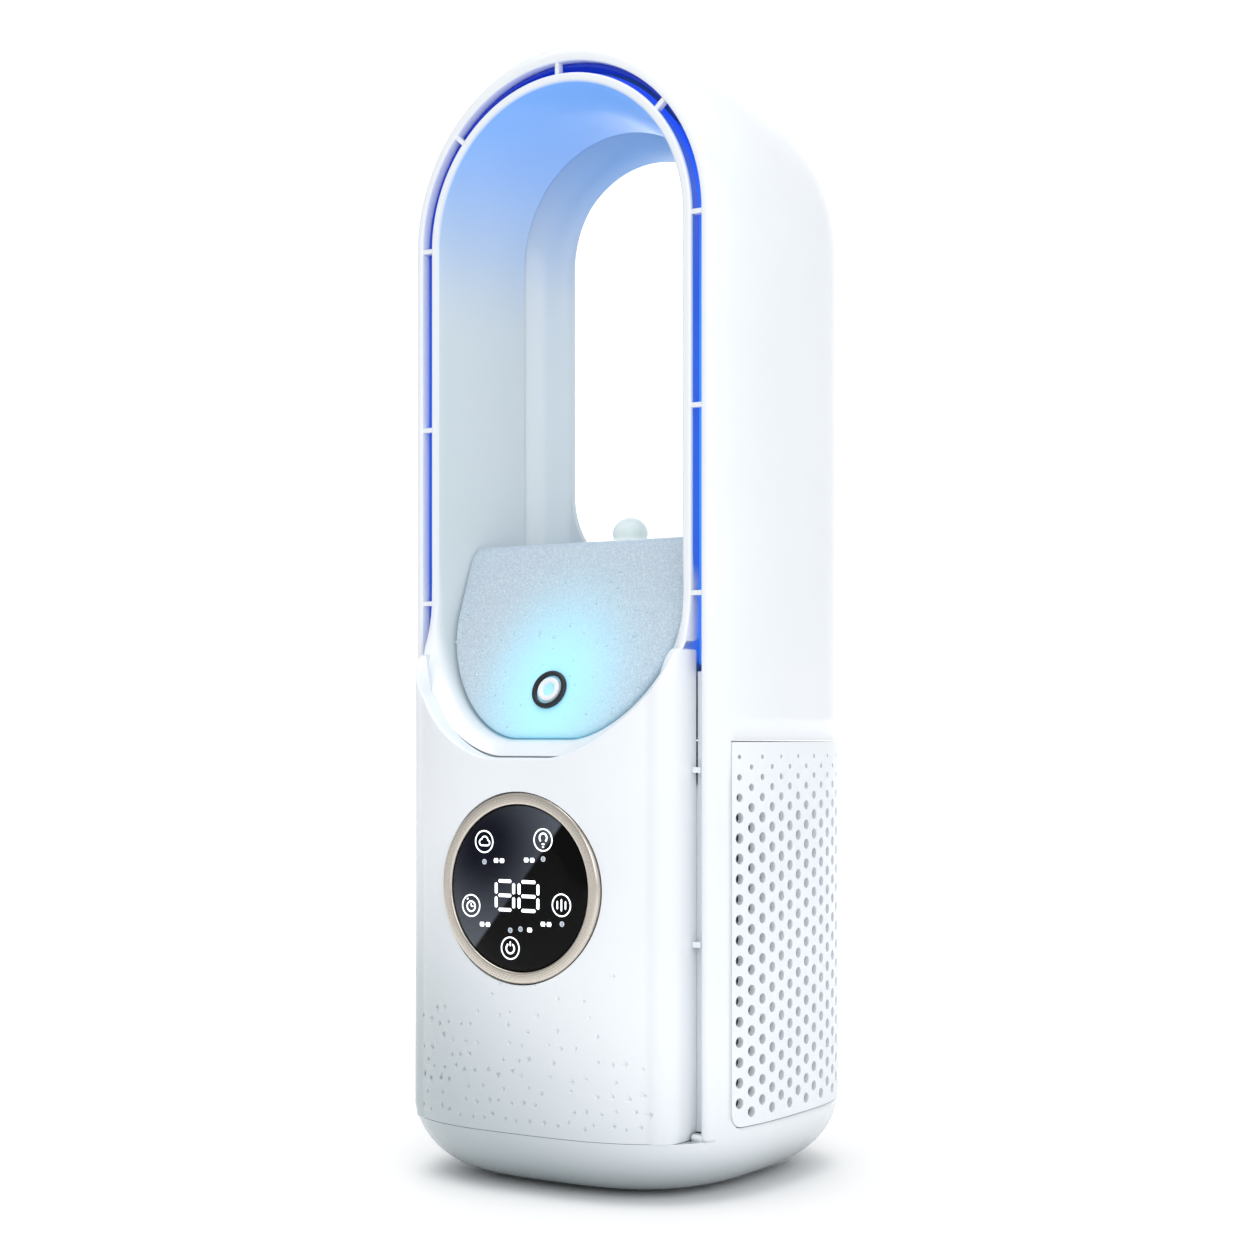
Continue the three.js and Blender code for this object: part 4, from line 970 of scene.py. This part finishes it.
champagne = spun_metal()
TRIM_WIDTH, TRIM_FRONT, TRIM_BACK = 3.4, 57.7, 52.0
inner_trim = BEZEL_RADIUS - TRIM_WIDTH
trim_profile = [(BEZEL_RADIUS, TRIM_BACK), (BEZEL_RADIUS, TRIM_FRONT - 1.1)]
for edge, side, soft, steps in ((BEZEL_RADIUS, -1, 0.9, 5), (inner_trim, 1, 0.7, 4)):
    turned = bezier((edge, TRIM_FRONT - soft), (edge, TRIM_FRONT), (edge + side * soft, TRIM_FRONT), steps)
    trim_profile += turned if side < 0 else turned[::-1]
trim_profile += [(inner_trim, TRIM_BACK), (BEZEL_RADIUS, TRIM_BACK)]
trim = lathe("display_trim_skin", trim_profile, [champagne], (0, 0, DISPLAY_Z), sides=128)
mount(trim, "body", "bezel_metal", "display_bezel")

# %% [markdown]
# The display is one black pane. A reflection is painted on it: lighter grey in the upper left,
# ending on a straight slanting line. Two seven-segment digits, five round touch signs, short bars in
# place of their captions and small dots glow white through the pane.

# %% Display pane
def pane_finish():
    finish = Finish("black display pane", Roughness=0.06, Specular_IOR_Level=0.12)
    position, (x, y, z) = finish.place()
    height = z - DISPLAY_Z
    # painted reflection: lighter grey on one side of a slanting line, fading away from the upper left
    side = (x - 14.1) * -35.05 + (height - 17.76) * 29.59
    past_reflection_edge = (side * 0.02).ramp(-0.6, 0.6)
    fade = ((x + 12.0) ** 2.0 + (height - 12.0) ** 2.0) ** 0.5
    reflection_fade = (fade * 0.04).ramp(0.15, 1.3)
    painted_reflection_tint = finish.mix(reflection_fade, rgb("0B0D1C"), rgb("5B6069"))
    finish.set(Base_Color=finish.mix(past_reflection_edge, rgb("010102"), painted_reflection_tint))
    return finish.material


pane_black = pane_finish()
PANE_FRONT = 57.2
pane_radius = inner_trim - 0.3
pane_profile = [(0, PANE_FRONT - 1.8), (pane_radius, PANE_FRONT - 1.8), (pane_radius, PANE_FRONT - 0.3)]
pane_profile += [(pane_radius - 0.1, PANE_FRONT - 0.1), (pane_radius - 0.3, PANE_FRONT)]
pane_profile += [(r, PANE_FRONT) for r in (16, 8, 0)]
pane = lathe("display_pane_skin", pane_profile, [pane_black], (0, 0, DISPLAY_Z), sides=128)
mount(pane, "body", "display_black", "display_glass")


def glow(name, colour, strength):
    finish = Finish(name, Base_Color=rgb(colour), Roughness=0.5, Emission_Strength=strength)
    position, _ = finish.place()
    finish.set(Emission_Color=finish.mix(finish.noise(position, 400.0), rgb(colour), rgb("FFFFFF")))
    return finish.material


digit_glow = glow("bright display digits", "F2FBFF", 1.1)
sign_glow = glow("dim display signs", "98A6B4", 0.55)

# %% Digits and touch signs
class Signs:
    """Flat shapes a hair in front of the pane."""

    def __init__(self):
        self.skin = Skin()

    def solid(self, ring):
        near, far = -PANE_FRONT - 0.05, -PANE_FRONT + 0.05
        self.skin.sheet([[(x, y, DISPLAY_Z + z) for x, z in [*ring, ring[0]]] for y in (far, near)])
        self.skin.patch([(x, near, DISPLAY_Z + z) for x, z in ring])

    def bar(self, start, end, width, cut=0.5):
        start, end = np.array(start, float), np.array(end, float)
        along = (end - start) / np.linalg.norm(end - start)
        aside = np.array((-along[1], along[0])) * width / 2
        tip = along * width * cut
        left, right = [start + tip - aside, end - tip - aside], [end - tip + aside, start + tip + aside]
        self.solid([start, *left, end, *right])

    def hoop(self, x, z, radius, width, first=0, last=360):
        steps = max(int(abs(last - first) / 10), 4)
        turn = np.radians(np.linspace(first, last, steps + 1))
        y = -PANE_FRONT - 0.05
        inner, outer = radius - width / 2, radius + width / 2
        near = [(inner, y + 0.1), (inner, y), (outer, y), (outer, y + 0.1)]
        rows = []
        for a in turn:
            c, s = math.cos(a), math.sin(a)
            rows.append([(x + r * c, d, DISPLAY_Z + z + r * s) for r, d in near])
        self.skin.sheet(rows)

    def dot(self, x, z, radius):
        turn = np.radians(range(0, 360, 30))
        self.solid([(x + radius * math.cos(a), z + radius * math.sin(a)) for a in turn])


def digits():
    made = Signs()
    for left, right in ((-8.0, -1.8), (0.1, 6.7)):
        high, low, width = 1.9, -6.3, 1.0
        middle = (high + low) / 2
        ease = 0.75
        for z in (high, middle, low):
            made.bar((left + ease, z), (right - ease, z), width, 0.35)
        for x in (left, right):
            made.bar((x, high - ease * 0.6), (x, middle + 0.35), width, 0.35)
            made.bar((x, middle - 0.35), (x, low + ease * 0.6), width, 0.35)
    return made.skin.mesh("display_digits", [digit_glow])


def touch_signs():
    made = Signs()
    for x, z in ((-12.3, 13.0), (8.45, 14.0), (-17.0, -5.6), (14.8, -4.2), (-3.0, -17.2)):
        made.hoop(x, z, 3.1, 0.4)
    made.hoop(-13.1, 12.8, 0.9, 0.4, 90, 270)
    made.hoop(-12.1, 13.4, 1.1, 0.4, 10, 170)
    made.bar((-13.3, 11.9), (-10.9, 11.9), 0.45)
    made.hoop(-11.1, 12.7, 0.75, 0.4, -90, 90)
    made.hoop(8.5, 14.6, 1.25, 0.5, -50, 230)
    made.bar((7.9, 12.8), (9.1, 12.8), 0.5)
    made.bar((8.1, 12.0), (8.9, 12.0), 0.45)
    made.hoop(-17.0, -5.8, 1.45, 0.45)
    made.bar((-17.0, -5.9), (-17.0, -4.8), 0.35)
    made.bar((-17.0, -5.8), (-16.1, -5.8), 0.35)
    made.bar((-18.6, -3.9), (-17.9, -3.5), 0.4)
    for shift in (-1.4, 0.0, 1.4):
        made.bar((14.8 + shift, -6.0 + abs(shift) * 0.4), (14.8 + shift, -2.4 - abs(shift) * 0.4), 0.5)
    made.hoop(-3.0, -17.3, 1.4, 0.5, 120, 420)
    made.bar((-3.0, -16.7), (-3.0, -15.2), 0.45)
    for x, z in ((-7.0, 7.7), (3.65, 8.15), (-12.0, -10.8), (9.5, -9.8)):
        made.bar((x - 1.9, z), (x - 0.2, z), 1.3, 0.2)
        made.bar((x + 0.2, z), (x + 1.9, z), 1.3, 0.2)
    made.bar((2.9, -11.7), (4.7, -11.7), 1.3, 0.2)
    return made.skin.mesh("display_touch_signs", [digit_glow])


def dim_signs():
    made = Signs()
    for x, z in ((-12.2, 7.2), (8.5, 8.6), (15.0, -9.5), (-3.0, -12.1), (0.6, -11.6)):
        made.hoop(x, z, 0.6, 0.35)
        made.dot(x, z, 0.25)
    return made.skin.mesh("display_small_marks", [sign_glow])


for sign in (digits(), touch_signs(), dim_signs()):
    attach(sign, "body")

# %% [markdown]
# The tank is frosted and lit through its floor by a blue lamp. That light is painted into its colour
# and a glow: pale cyan, stronger near the lamp and round the nozzle. Its form follows the tunnel's
# sill. Its front face slopes back and all its edges are soft.

# %% Mist tank
TANK_FLOOR, TANK_TOP, TANK_FOOT_Y, TANK_BACK_Y = SILL_Z, 189.2, -47.0, 13.4
LEAN = math.radians(20.5)
NOZZLE_Z = 144.6
NOZZLE_Y = TANK_FOOT_Y + math.tan(LEAN) * (NOZZLE_Z - TANK_FLOOR)


def frosted():
    finish = Finish("frosted tank plastic, lit cyan", Transmission_Weight=0.15, IOR=1.3, Coat_Weight=0.25)
    position, (x, y, z) = finish.place()
    # painted light: the lamp's cyan in colour and glow, strongest round the nozzle, and a dim glow
    # everywhere
    away = (x**2.0 + ((z - NOZZLE_Z) * 0.8) ** 2.0) ** 0.5
    near = (1.0 - away.ramp(2.0, 40.0)) ** 1.5
    cloud = finish.noise(position, 120.0, 3.0)
    speck = finish.noise(position, 1600.0, 3.0).ramp(0.4, 0.66)
    plastic = finish.mix(speck, rgb("C6D2DE"), rgb("D9E5EC"))
    finish.set(
        Base_Color=finish.mix(near, plastic, rgb("B4EAFA")),
        Roughness=0.32 + 0.12 * cloud,
        Emission_Color=finish.mix(near, rgb("34444F"), rgb("8FE0FA")),
        Emission_Strength=0.38,
    )
    finish.relief(finish.noise(position, 1500.0, 2.0), 0.03, 0.4)
    return finish.material


frosted_cyan = frosted()


def tunnel_radius(y):
    if y < JOIN_Y:
        return RING_INNER + (JOIN_RADIUS - RING_INNER) * (y - RIM_Y) / (JOIN_Y - RIM_Y)
    return JOIN_RADIUS + (THROAT_RADIUS - JOIN_RADIUS) * (y - JOIN_Y) / (THROAT_Y - JOIN_Y)


def tank_face_y(z):
    return TANK_FOOT_Y + math.tan(LEAN) * (z - TANK_FLOOR)


def tank_section(radius, inset):
    """The tank's closed outline at one depth, moved in by an inset."""
    reach = radius - 0.5 - inset
    points = []
    for a in quarter(25):
        x = FLAT + (reach - FLAT) * math.sin(a) ** (2 / 1.75)
        z = 130.6 + inset + (37.4 - inset) * (1 - max(math.cos(a), 0) ** (2 / 1.75))
        points.append((x, z))
    soft = 3.0
    top = TANK_TOP - inset
    points += [(reach, z) for z in np.linspace(168.0, top - soft, 5)[1:]]
    points += [
        (reach - soft + soft * math.cos(a), top - soft + soft * math.sin(a))
        for a in quarter(7)[1:]
    ]
    points += [(x, top) for x in np.linspace(reach - soft, 0, 8)[1:]]
    return [(0.0, 130.6 + inset), (5.0, 130.6 + inset)] + points


def mist_tank():
    soft, reach = 2.6, 42.5
    centre = np.array((0.0, 158.0))
    flat = np.array(tank_section(reach, soft))
    rows = []
    for share in (0.06, 0.3, 0.55, 0.8):
        rows.append([(x, tank_face_y(z), z) for x, z in centre + (flat - centre) * share])
    for a in quarter(8):
        inset, depth = soft * (1 - math.sin(a)), soft * (1 - math.cos(a))
        row = tank_section(reach - 0.9 * math.sin(a), inset)
        rows.append([(x, tank_face_y(z) + depth / math.cos(LEAN), z) for x, z in row])
    rim = rows[-1]
    for share in (0.25, 0.5, 0.75, 1.0):
        row = []
        for i, (_, y, z) in enumerate(rim):
            depth = y + (TANK_BACK_Y - y) * share
            row.append((tank_section(tunnel_radius(depth) - 0.6, 0.0)[i][0], depth, z))
        rows.append(row)
    back_y = TANK_BACK_Y + 1.0
    for a in np.radians((30, 60, 90)):
        row = tank_section(tunnel_radius(back_y) - 0.6, 1.0 - math.cos(a))
        rows.append([(x, TANK_BACK_Y + math.sin(a), z) for x, z in row])
    back = rows[-1]
    rows += [[(x * share, back_y, 160 + (z - 160) * share) for x, _, z in back] for share in (0.5, 0.02)]
    skin = Skin()
    skin.sheet(rows)
    skin.patch(rows[-1])
    skin.patch(rows[0])
    skin.mirror()
    return skin.mesh("mist_tank_skin", [frosted_cyan], 40, (0, -45, 140))


tank = mist_tank()
mount(tank, "body", "frosted_tank", "water_tank")
print("tank points:", len(tank.data.vertices))

# %% [markdown]
# Mist settles on the sloping face as small drops. The node group scatters flattened caps over the
# faces that look forward, with a fixed seed, and joins them into one mesh.

# %% Drops on the tank
def water_finish():
    finish = Finish("water drops", Roughness=0.04, IOR=1.33, Transmission_Weight=0.35)
    position, _ = finish.place()
    finish.set(Base_Color=finish.mix(finish.noise(position, 300.0), rgb("C9F1FA"), rgb("F2FDFF")))
    return finish.material


water = water_finish()


def drops_tree():
    sizes = {"Water": water, "Drops per square metre": 60000.0}
    sizes |= {"Smallest": 0.16, "Largest": 0.7, "Seed": 11}
    tree, ends = group("scattered drops", sizes)
    normal = tree.node("GeometryNodeInputNormal")
    _, ny, nz = tree.split(normal)
    position = tree.node("GeometryNodeInputPosition")
    x, y, z = tree.split(position)
    facing = (ny < -0.6) * (z > 134.0 * MM) * (z < 186.0 * MM)
    outside = (x * x + (z - NOZZLE_Z * MM) * (z - NOZZLE_Z * MM)) > (7.5 * MM) ** 2
    spots = tree.node(
        "GeometryNodeDistributePointsOnFaces",
        {"distribute_method": "RANDOM"},
        {0: ends["Geometry"], 1: facing * outside, 4: ends["Drops per square metre"], 6: ends["Seed"]},
    )
    rotation = Value(tree, spots.socket.node.outputs[2])
    drop = tree.node("GeometryNodeMeshUVSphere", None, {"Segments": 9, "Rings": 6, "Radius": 1.0 * MM})
    index = tree.node("GeometryNodeInputIndex")
    rand = tree.random(0.0, 1.0, index, ends["Seed"])
    size = ends["Smallest"] + (ends["Largest"] - ends["Smallest"]) * rand**4.0
    scale = tree.vector(size, size, size * 0.55)
    drops = tree.node("GeometryNodeInstanceOnPoints", None, {0: spots, 2: drop, 5: rotation, 6: scale})
    finish_group(tree, drops, ends["Water"])
    return tree, sizes


drops = add_object("tank_drops", tank.data.copy())
drop_tree, drop_sizes = drops_tree()
run_group(drops, drop_tree, drop_sizes, 60)
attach(drops, "body")

# %% [markdown]
# The mist nozzle is three turned rings square to the tank's sloping face: a black bush, a white
# insert with a rolled edge, and the small dished plate that the mist leaves through.

# %% Mist nozzle
def plain(name, colour, second, roughness, scale=200.0, **fixed):
    finish = Finish(name, **fixed)
    position, _ = finish.place()
    cloud = finish.noise(position, scale, 3.0)
    finish.set(Base_Color=finish.mix(cloud, rgb(colour), rgb(second)), Roughness=roughness + 0.1 * cloud)
    return finish.material


nozzle_black = plain("black nozzle rubber", "15181C", "24282D", 0.3)
nozzle_white = plain("white nozzle plastic", "E8EEF2", "F6FAFC", 0.22, Coat_Weight=0.3)
nozzle_place = (0.0, NOZZLE_Y, NOZZLE_Z)


def on_face(name, profile, material, slot, node):
    made = lathe(name, profile, [material], nozzle_place, LEAN, 72)
    return mount(made, "body", slot, node)


bush = [(4.35, 0.35), (4.35, 0.9)] + bezier((4.35, 1.0), (4.4, 1.3), (4.8, 1.3), 3)
bush += bezier((5.1, 1.3), (5.85, 1.3), (5.85, 0.7), 4) + [(5.85, 0.35), (4.35, 0.35)]
on_face("nozzle_bush_skin", bush, nozzle_black, "nozzle_dark", "mist_nozzle_bezel")
insert = [(2.0, -0.6), (2.0, 0.7)] + bezier((2.0, 0.8), (2.0, 1.5), (2.7, 1.5), 4)
insert += bezier((3.0, 1.5), (3.75, 1.5), (3.75, 0.7), 4) + [(3.75, -0.6), (2.0, -0.6)]
on_face("nozzle_insert_skin", insert, nozzle_white, "nozzle_white", "mist_nozzle_insert")
steel = plain("brushed steel", "8F959B", "B5BABF", 0.28, 500.0, Metallic=1.0)
plate = [(0.0, -1.5), (3.4, -1.5), (3.4, -0.95), (1.9, -0.95), (1.6, -1.15), (0.0, -1.2)]
on_face("mist_plate_skin", plate, steel, "steel", "atomiser_disc")

# %% [markdown]
# The filler plug is soft translucent silicone: a flange on the tank's top, a small waist and a
# domed knob to pull it by.

# %% Filler plug
FILLER_Y = 1.0
# The weak pale glow is painted light that brightens the plug.
silicone = plain(
    "translucent silicone",
    "EAF6F1",
    "F7FCFA",
    0.3,
    150.0,
    Transmission_Weight=0.1,
    Emission_Color=rgb("DCEBE6"),
    Emission_Strength=0.12,
)
PLUG_FOOT = TANK_TOP + 0.3
plug_profile = [(0, PLUG_FOOT - 4), (4.8, PLUG_FOOT - 4)]
plug_profile += bezier((4.8, PLUG_FOOT - 4), (5.3, PLUG_FOOT - 4), (5.3, PLUG_FOOT - 3.5), 3)
plug_profile += [(5.3, PLUG_FOOT), (6.6, PLUG_FOOT)]
plug_profile += bezier((6.6, PLUG_FOOT), (7.0, PLUG_FOOT + 0.1), (7.0, PLUG_FOOT + 0.6), 3)
plug_profile += bezier((7.0, PLUG_FOOT + 0.8), (6.9, PLUG_FOOT + 1.4), (6.1, PLUG_FOOT + 1.4), 4)
plug_profile += bezier((5.7, PLUG_FOOT + 1.6), (5.0, PLUG_FOOT + 2.0), (5.4, PLUG_FOOT + 3.2), 4)
dome = np.radians(np.linspace(4, 90, 12))
plug_profile += [(5.5 * math.cos(a), PLUG_FOOT + 3.6 + 5.3 * math.sin(a)) for a in dome]
plug_profile[-1] = (0.0, PLUG_FOOT + 8.9)


upright = math.pi / 2
plug = lathe("filler_plug_skin", plug_profile, [silicone], (0.0, FILLER_Y, 0.0), upright, 72)
mount(plug, "plug", "soft_plug", "filler_plug")

# %% [markdown]
# Inside the slit a clear blue guide lies round the ring's outer wall and a strip of lamps lies
# inside the shell's rim. Both glow. The light is cyan against the ring, deep blue at the crown
# and duller on the side that the lamps leave in shade.

# %% Slit lights
def slit_finish(name, crown, side, low, strength):
    finish = Finish(name, Roughness=0.3, Emission_Strength=strength)
    position, (x, y, z) = finish.place()
    high = z.ramp(235.0, 318.0)
    tail = z.ramp(150.0, 200.0)
    colour = finish.mix(high, finish.mix(tail, rgb(low), rgb(side)), rgb(crown))
    finish.set(Base_Color=colour, Emission_Color=colour)
    return finish.material


guide_blue = slit_finish("lit slit guide", "1B46D8", "3F8CE6", "2E70D8", 0.75)
strip_blue = slit_finish("lit slit lamps", "0E2A9C", "1C4EC0", "1A42A8", 0.6)


def slit_band(name, radius, thickness, front, back, material, node):
    """A band round the loop; its radius may differ at its front and back."""
    path = [(1.0, 0.0, z) for z in np.linspace(151.5, ARCH_CENTRE, 12)[:-1]]
    path += [(math.cos(a), math.sin(a), ARCH_CENTRE) for a in quarter(40)]
    skin = Skin()
    rows = []
    for c, s, z in path:
        near, far = radius
        corners = [(near, front), (near + thickness, front), (far + thickness, back), (far, back)]
        rows.append([(r * c, y, z + r * s) for r, y in corners + corners[:1]])
    skin.sheet(rows)
    skin.patch(rows[0][:-1])
    skin.mirror()
    return mount(skin.mesh(name, [material], 50), "body", "lamp_blue", node)


def guide_radius(y):
    return SLIT_INNER + (JOIN_RADIUS + RING_WALL - SLIT_INNER) * (y + 36.5) / (JOIN_Y + 36.5) + 0.5


guide_radii = (guide_radius(-34), guide_radius(-16))
slit_band("slit_guide_skin", guide_radii, 0.9, -34.0, -16.0, guide_blue, "light_guide")
slit_band("slit_lamps_skin", (48.3, 48.3), 1.0, -35.6, -28.0, strip_blue, "light_strip")

# %% [markdown]
# The ribs that brace the slit are small white bars at fixed angles round the arch and fixed
# heights down the sides. A node group sets one bar on each point of a list and turns it to the
# loop's centre. The groove beside the panel has two more on each side.

# %% Slit ribs
def rib_points():
    made = bpy.data.meshes.new("rib places")
    middle = (SLIT_OUTER + SLIT_INNER) / 2 + 0.1
    places = []
    for degrees in (0, 42, 90, 138, 180):
        a = math.radians(degrees)
        places.append((math.cos(a) * middle, -37.3, ARCH_CENTRE + middle * math.sin(a), -degrees))
    places += [(side * middle, -37.3, z, 0) for z in (224.2, 171.5) for side in (-1, 1)]
    places += [(side * middle, -36.9, z, 0) for z in (121.8, 72.8) for side in (-1, 1)]
    made.from_pydata([(x * MM, y * MM, z * MM) for x, y, z, _ in places], [], [])
    turn = made.attributes.new("turn", "FLOAT", "POINT")
    turn.data.foreach_set("value", [math.radians(t) for *_, t in places])
    return add_object("slit_ribs", made)


def rib_tree():
    sizes = {"Plastic": white_gloss_painted_shade, "Rib length": 3.9, "Rib depth": 2.2, "Rib thickness": 1.4}
    tree, ends = group("ribs across the slit", sizes)
    size = tree.vector(ends["Rib length"] * MM, ends["Rib depth"] * MM, ends["Rib thickness"] * MM)
    bar = tree.node("GeometryNodeMeshCube", None, {0: size, 1: 3, 2: 3, 3: 3})
    soft = tree.node("GeometryNodeSubdivisionSurface", None, {0: bar, 1: 2, 2: 0.72})
    turn = tree.node("GeometryNodeInputNamedAttribute", {"data_type": "FLOAT"}, {0: "turn"})
    sockets = {0: ends["Geometry"], 2: soft, 5: tree.vector(0.0, turn, 0.0)}
    bars = tree.node("GeometryNodeInstanceOnPoints", None, sockets)
    finish_group(tree, bars, ends["Plastic"])
    return tree, sizes


ribs = rib_points()
rib_group, rib_sizes = rib_tree()
run_group(ribs, rib_group, rib_sizes, 60)
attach(ribs, "body")

# %% [markdown]
# The power inlet is a dark moulded pocket in the foot of the back, with two pins.

# %% Power inlet
inlet_black = plain("black inlet plastic", "101214", "202327", 0.45)
port = rounded_slot("power_inlet_skin", 5.2, 2.2, 1.0, 49.2, 57.4, PORT_Z, inlet_black)
port.data.materials.append(steel)
cut_with(port, rounded_slot("port_pocket", 4.3, 1.4, 0.7, 52.2, 60.0, PORT_Z, inlet_black))
mount(port, "body", "steel", "power_port")


def inlet_pins():
    pins = Skin()
    for x in (-1.8, 1.8):
        profile = [(0, 51.8), (0.55, 51.8), (0.55, 55.9), (0.35, 56.3), (0, 56.4)]
        rows = []
        for a in np.radians(np.linspace(0, 360, 17)):
            rows.append([(x + r * math.cos(a), y, PORT_Z + r * math.sin(a)) for r, y in profile])
        pins.sheet(rows)
    return pins.mesh("power_inlet_pins", [steel])


pins = inlet_pins()
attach(pins, "body")

# %% [markdown]
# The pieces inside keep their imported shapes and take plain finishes: dark woven filter cloth,
# rubber feet, steel screws, springs and shaft, a zinc motor can, green circuit boards, a pale
# moulded impeller and a felt wick.

# %% Finishes of the inner pieces
def filter_cloth():
    finish = Finish("dark filter cloth", Roughness=0.9)
    position, (x, y, z) = finish.place()
    weave = ((x + y) * 5.0).math("SINE") * (z * 5.0).math("SINE")
    finish.set(Base_Color=finish.mix(weave * 0.5 + 0.5, rgb("2E3338"), rgb("6B7278")))
    finish.relief(weave, 0.15, 0.8)
    return finish.material


looks = {
    "filter_mesh": filter_cloth(),
    "rubber": plain("black foot rubber", "1B1C1E", "2C2D30", 0.75, 600.0),
    "steel": steel,
    "motor_metal": plain("zinc motor can", "8B8F93", "AEB2B6", 0.35, 90.0, Metallic=1.0),
    "blade_plastic": plain("pale impeller plastic", "DDE6E2", "EEF3F1", 0.35, 40.0),
    "circuit_board": plain("green circuit board", "174A30", "236B48", 0.5, 700.0),
    "digit_face": plain("grey digit module", "3A3D42", "55595F", 0.5),
    "wick_felt": plain("felt wick", "DAD8CE", "F0EEE6", 0.9, 900.0),
    "lamp_blue": guide_blue,
    "white_plastic": white_inner,
}
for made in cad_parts.values():
    if made.hide_render:
        continue
    slot_name = made.data.materials[0].name.split(".")[0] if made.data.materials else ""
    chosen = looks.get(slot_name, white_inner)
    if made.name in ("front_frame", "base_plate"):
        chosen = white_gloss_painted_shade
    made.data.materials.clear()
    made.data.materials.append(chosen)
    print(made.name, slot_name, "->", chosen.name)

# %% [markdown]
# The fan stands on a plain white floor that curves up behind it. Soft panels light it from the
# front right, from above and from the left, and the surroundings are white.

# %% Floor, light and camera
VIEW_TURN = math.radians(33.28)


def stage_floor():
    finish = Finish("white studio floor", Roughness=0.7, Specular_IOR_Level=0.1)
    position, _ = finish.place()
    finish.set(Base_Color=finish.mix(finish.noise(position, 3.0), rgb("FBFBFB"), rgb("FFFFFF")))
    flat, bend, top = 1.8, 0.8, 4.0
    sweep = [(-4.0, 0.0), (flat, 0.0)]
    sweep += [(flat + bend * math.sin(a), bend - bend * math.cos(a)) for a in quarter(16)]
    sweep += [(flat + bend, top)]
    sine, cosine = math.sin(VIEW_TURN), math.cos(VIEW_TURN)
    skin = Skin()
    rows = []
    for side in (-5.0, 5.0):
        row = [(side * cosine - d * sine, side * sine + d * cosine, z) for d, z in sweep]
        rows.append(np.array(row) / MM)
    skin.sheet(rows)
    floor = skin.mesh("studio_floor", [finish.material], 80)
    return floor


def soft_panel(name, place, target, size, power):
    light = bpy.data.lights.new(name, "AREA")
    light.size = size
    light.energy = power
    panel_light = add_object(name, light)
    panel_light.location = place
    panel_light.rotation_euler = (Vector(target) - Vector(place)).to_track_quat("-Z", "Y").to_euler()


stage_floor()
middle = (0.0, 0.0, 0.17)
soft_panel("front_panel_light", (1.1, -1.15, 0.85), middle, 1.2, 7.5)
soft_panel("side_light", (1.6, -0.1, 0.7), middle, 1.1, 3.4)
soft_panel("top_light", (-0.1, -0.2, 1.7), middle, 1.4, 15)
soft_panel("backdrop_light", (-0.7, 1.0, 1.6), (-1.4, 2.2, 0.6), 2.0, 42)
world = bpy.data.worlds.new("white surroundings")
bpy.context.scene.world = world
world.use_nodes = True
background = world.node_tree.nodes["Background"]
background.inputs["Color"].default_value = (0.97, 0.985, 1.0, 1.0)
background.inputs["Strength"].default_value = 0.52

camera = add_object("camera", bpy.data.cameras.new("camera"))
camera.location = (0.3687, -0.5643, 0.1315)
camera.rotation_euler = (math.pi / 2, 0.0, VIEW_TURN)
camera.data.lens = 63.4
camera.data.sensor_width = 36.0
camera.data.shift_y = 0.094
bpy.context.scene.camera = camera
bpy.context.scene.view_settings.view_transform = "Standard"
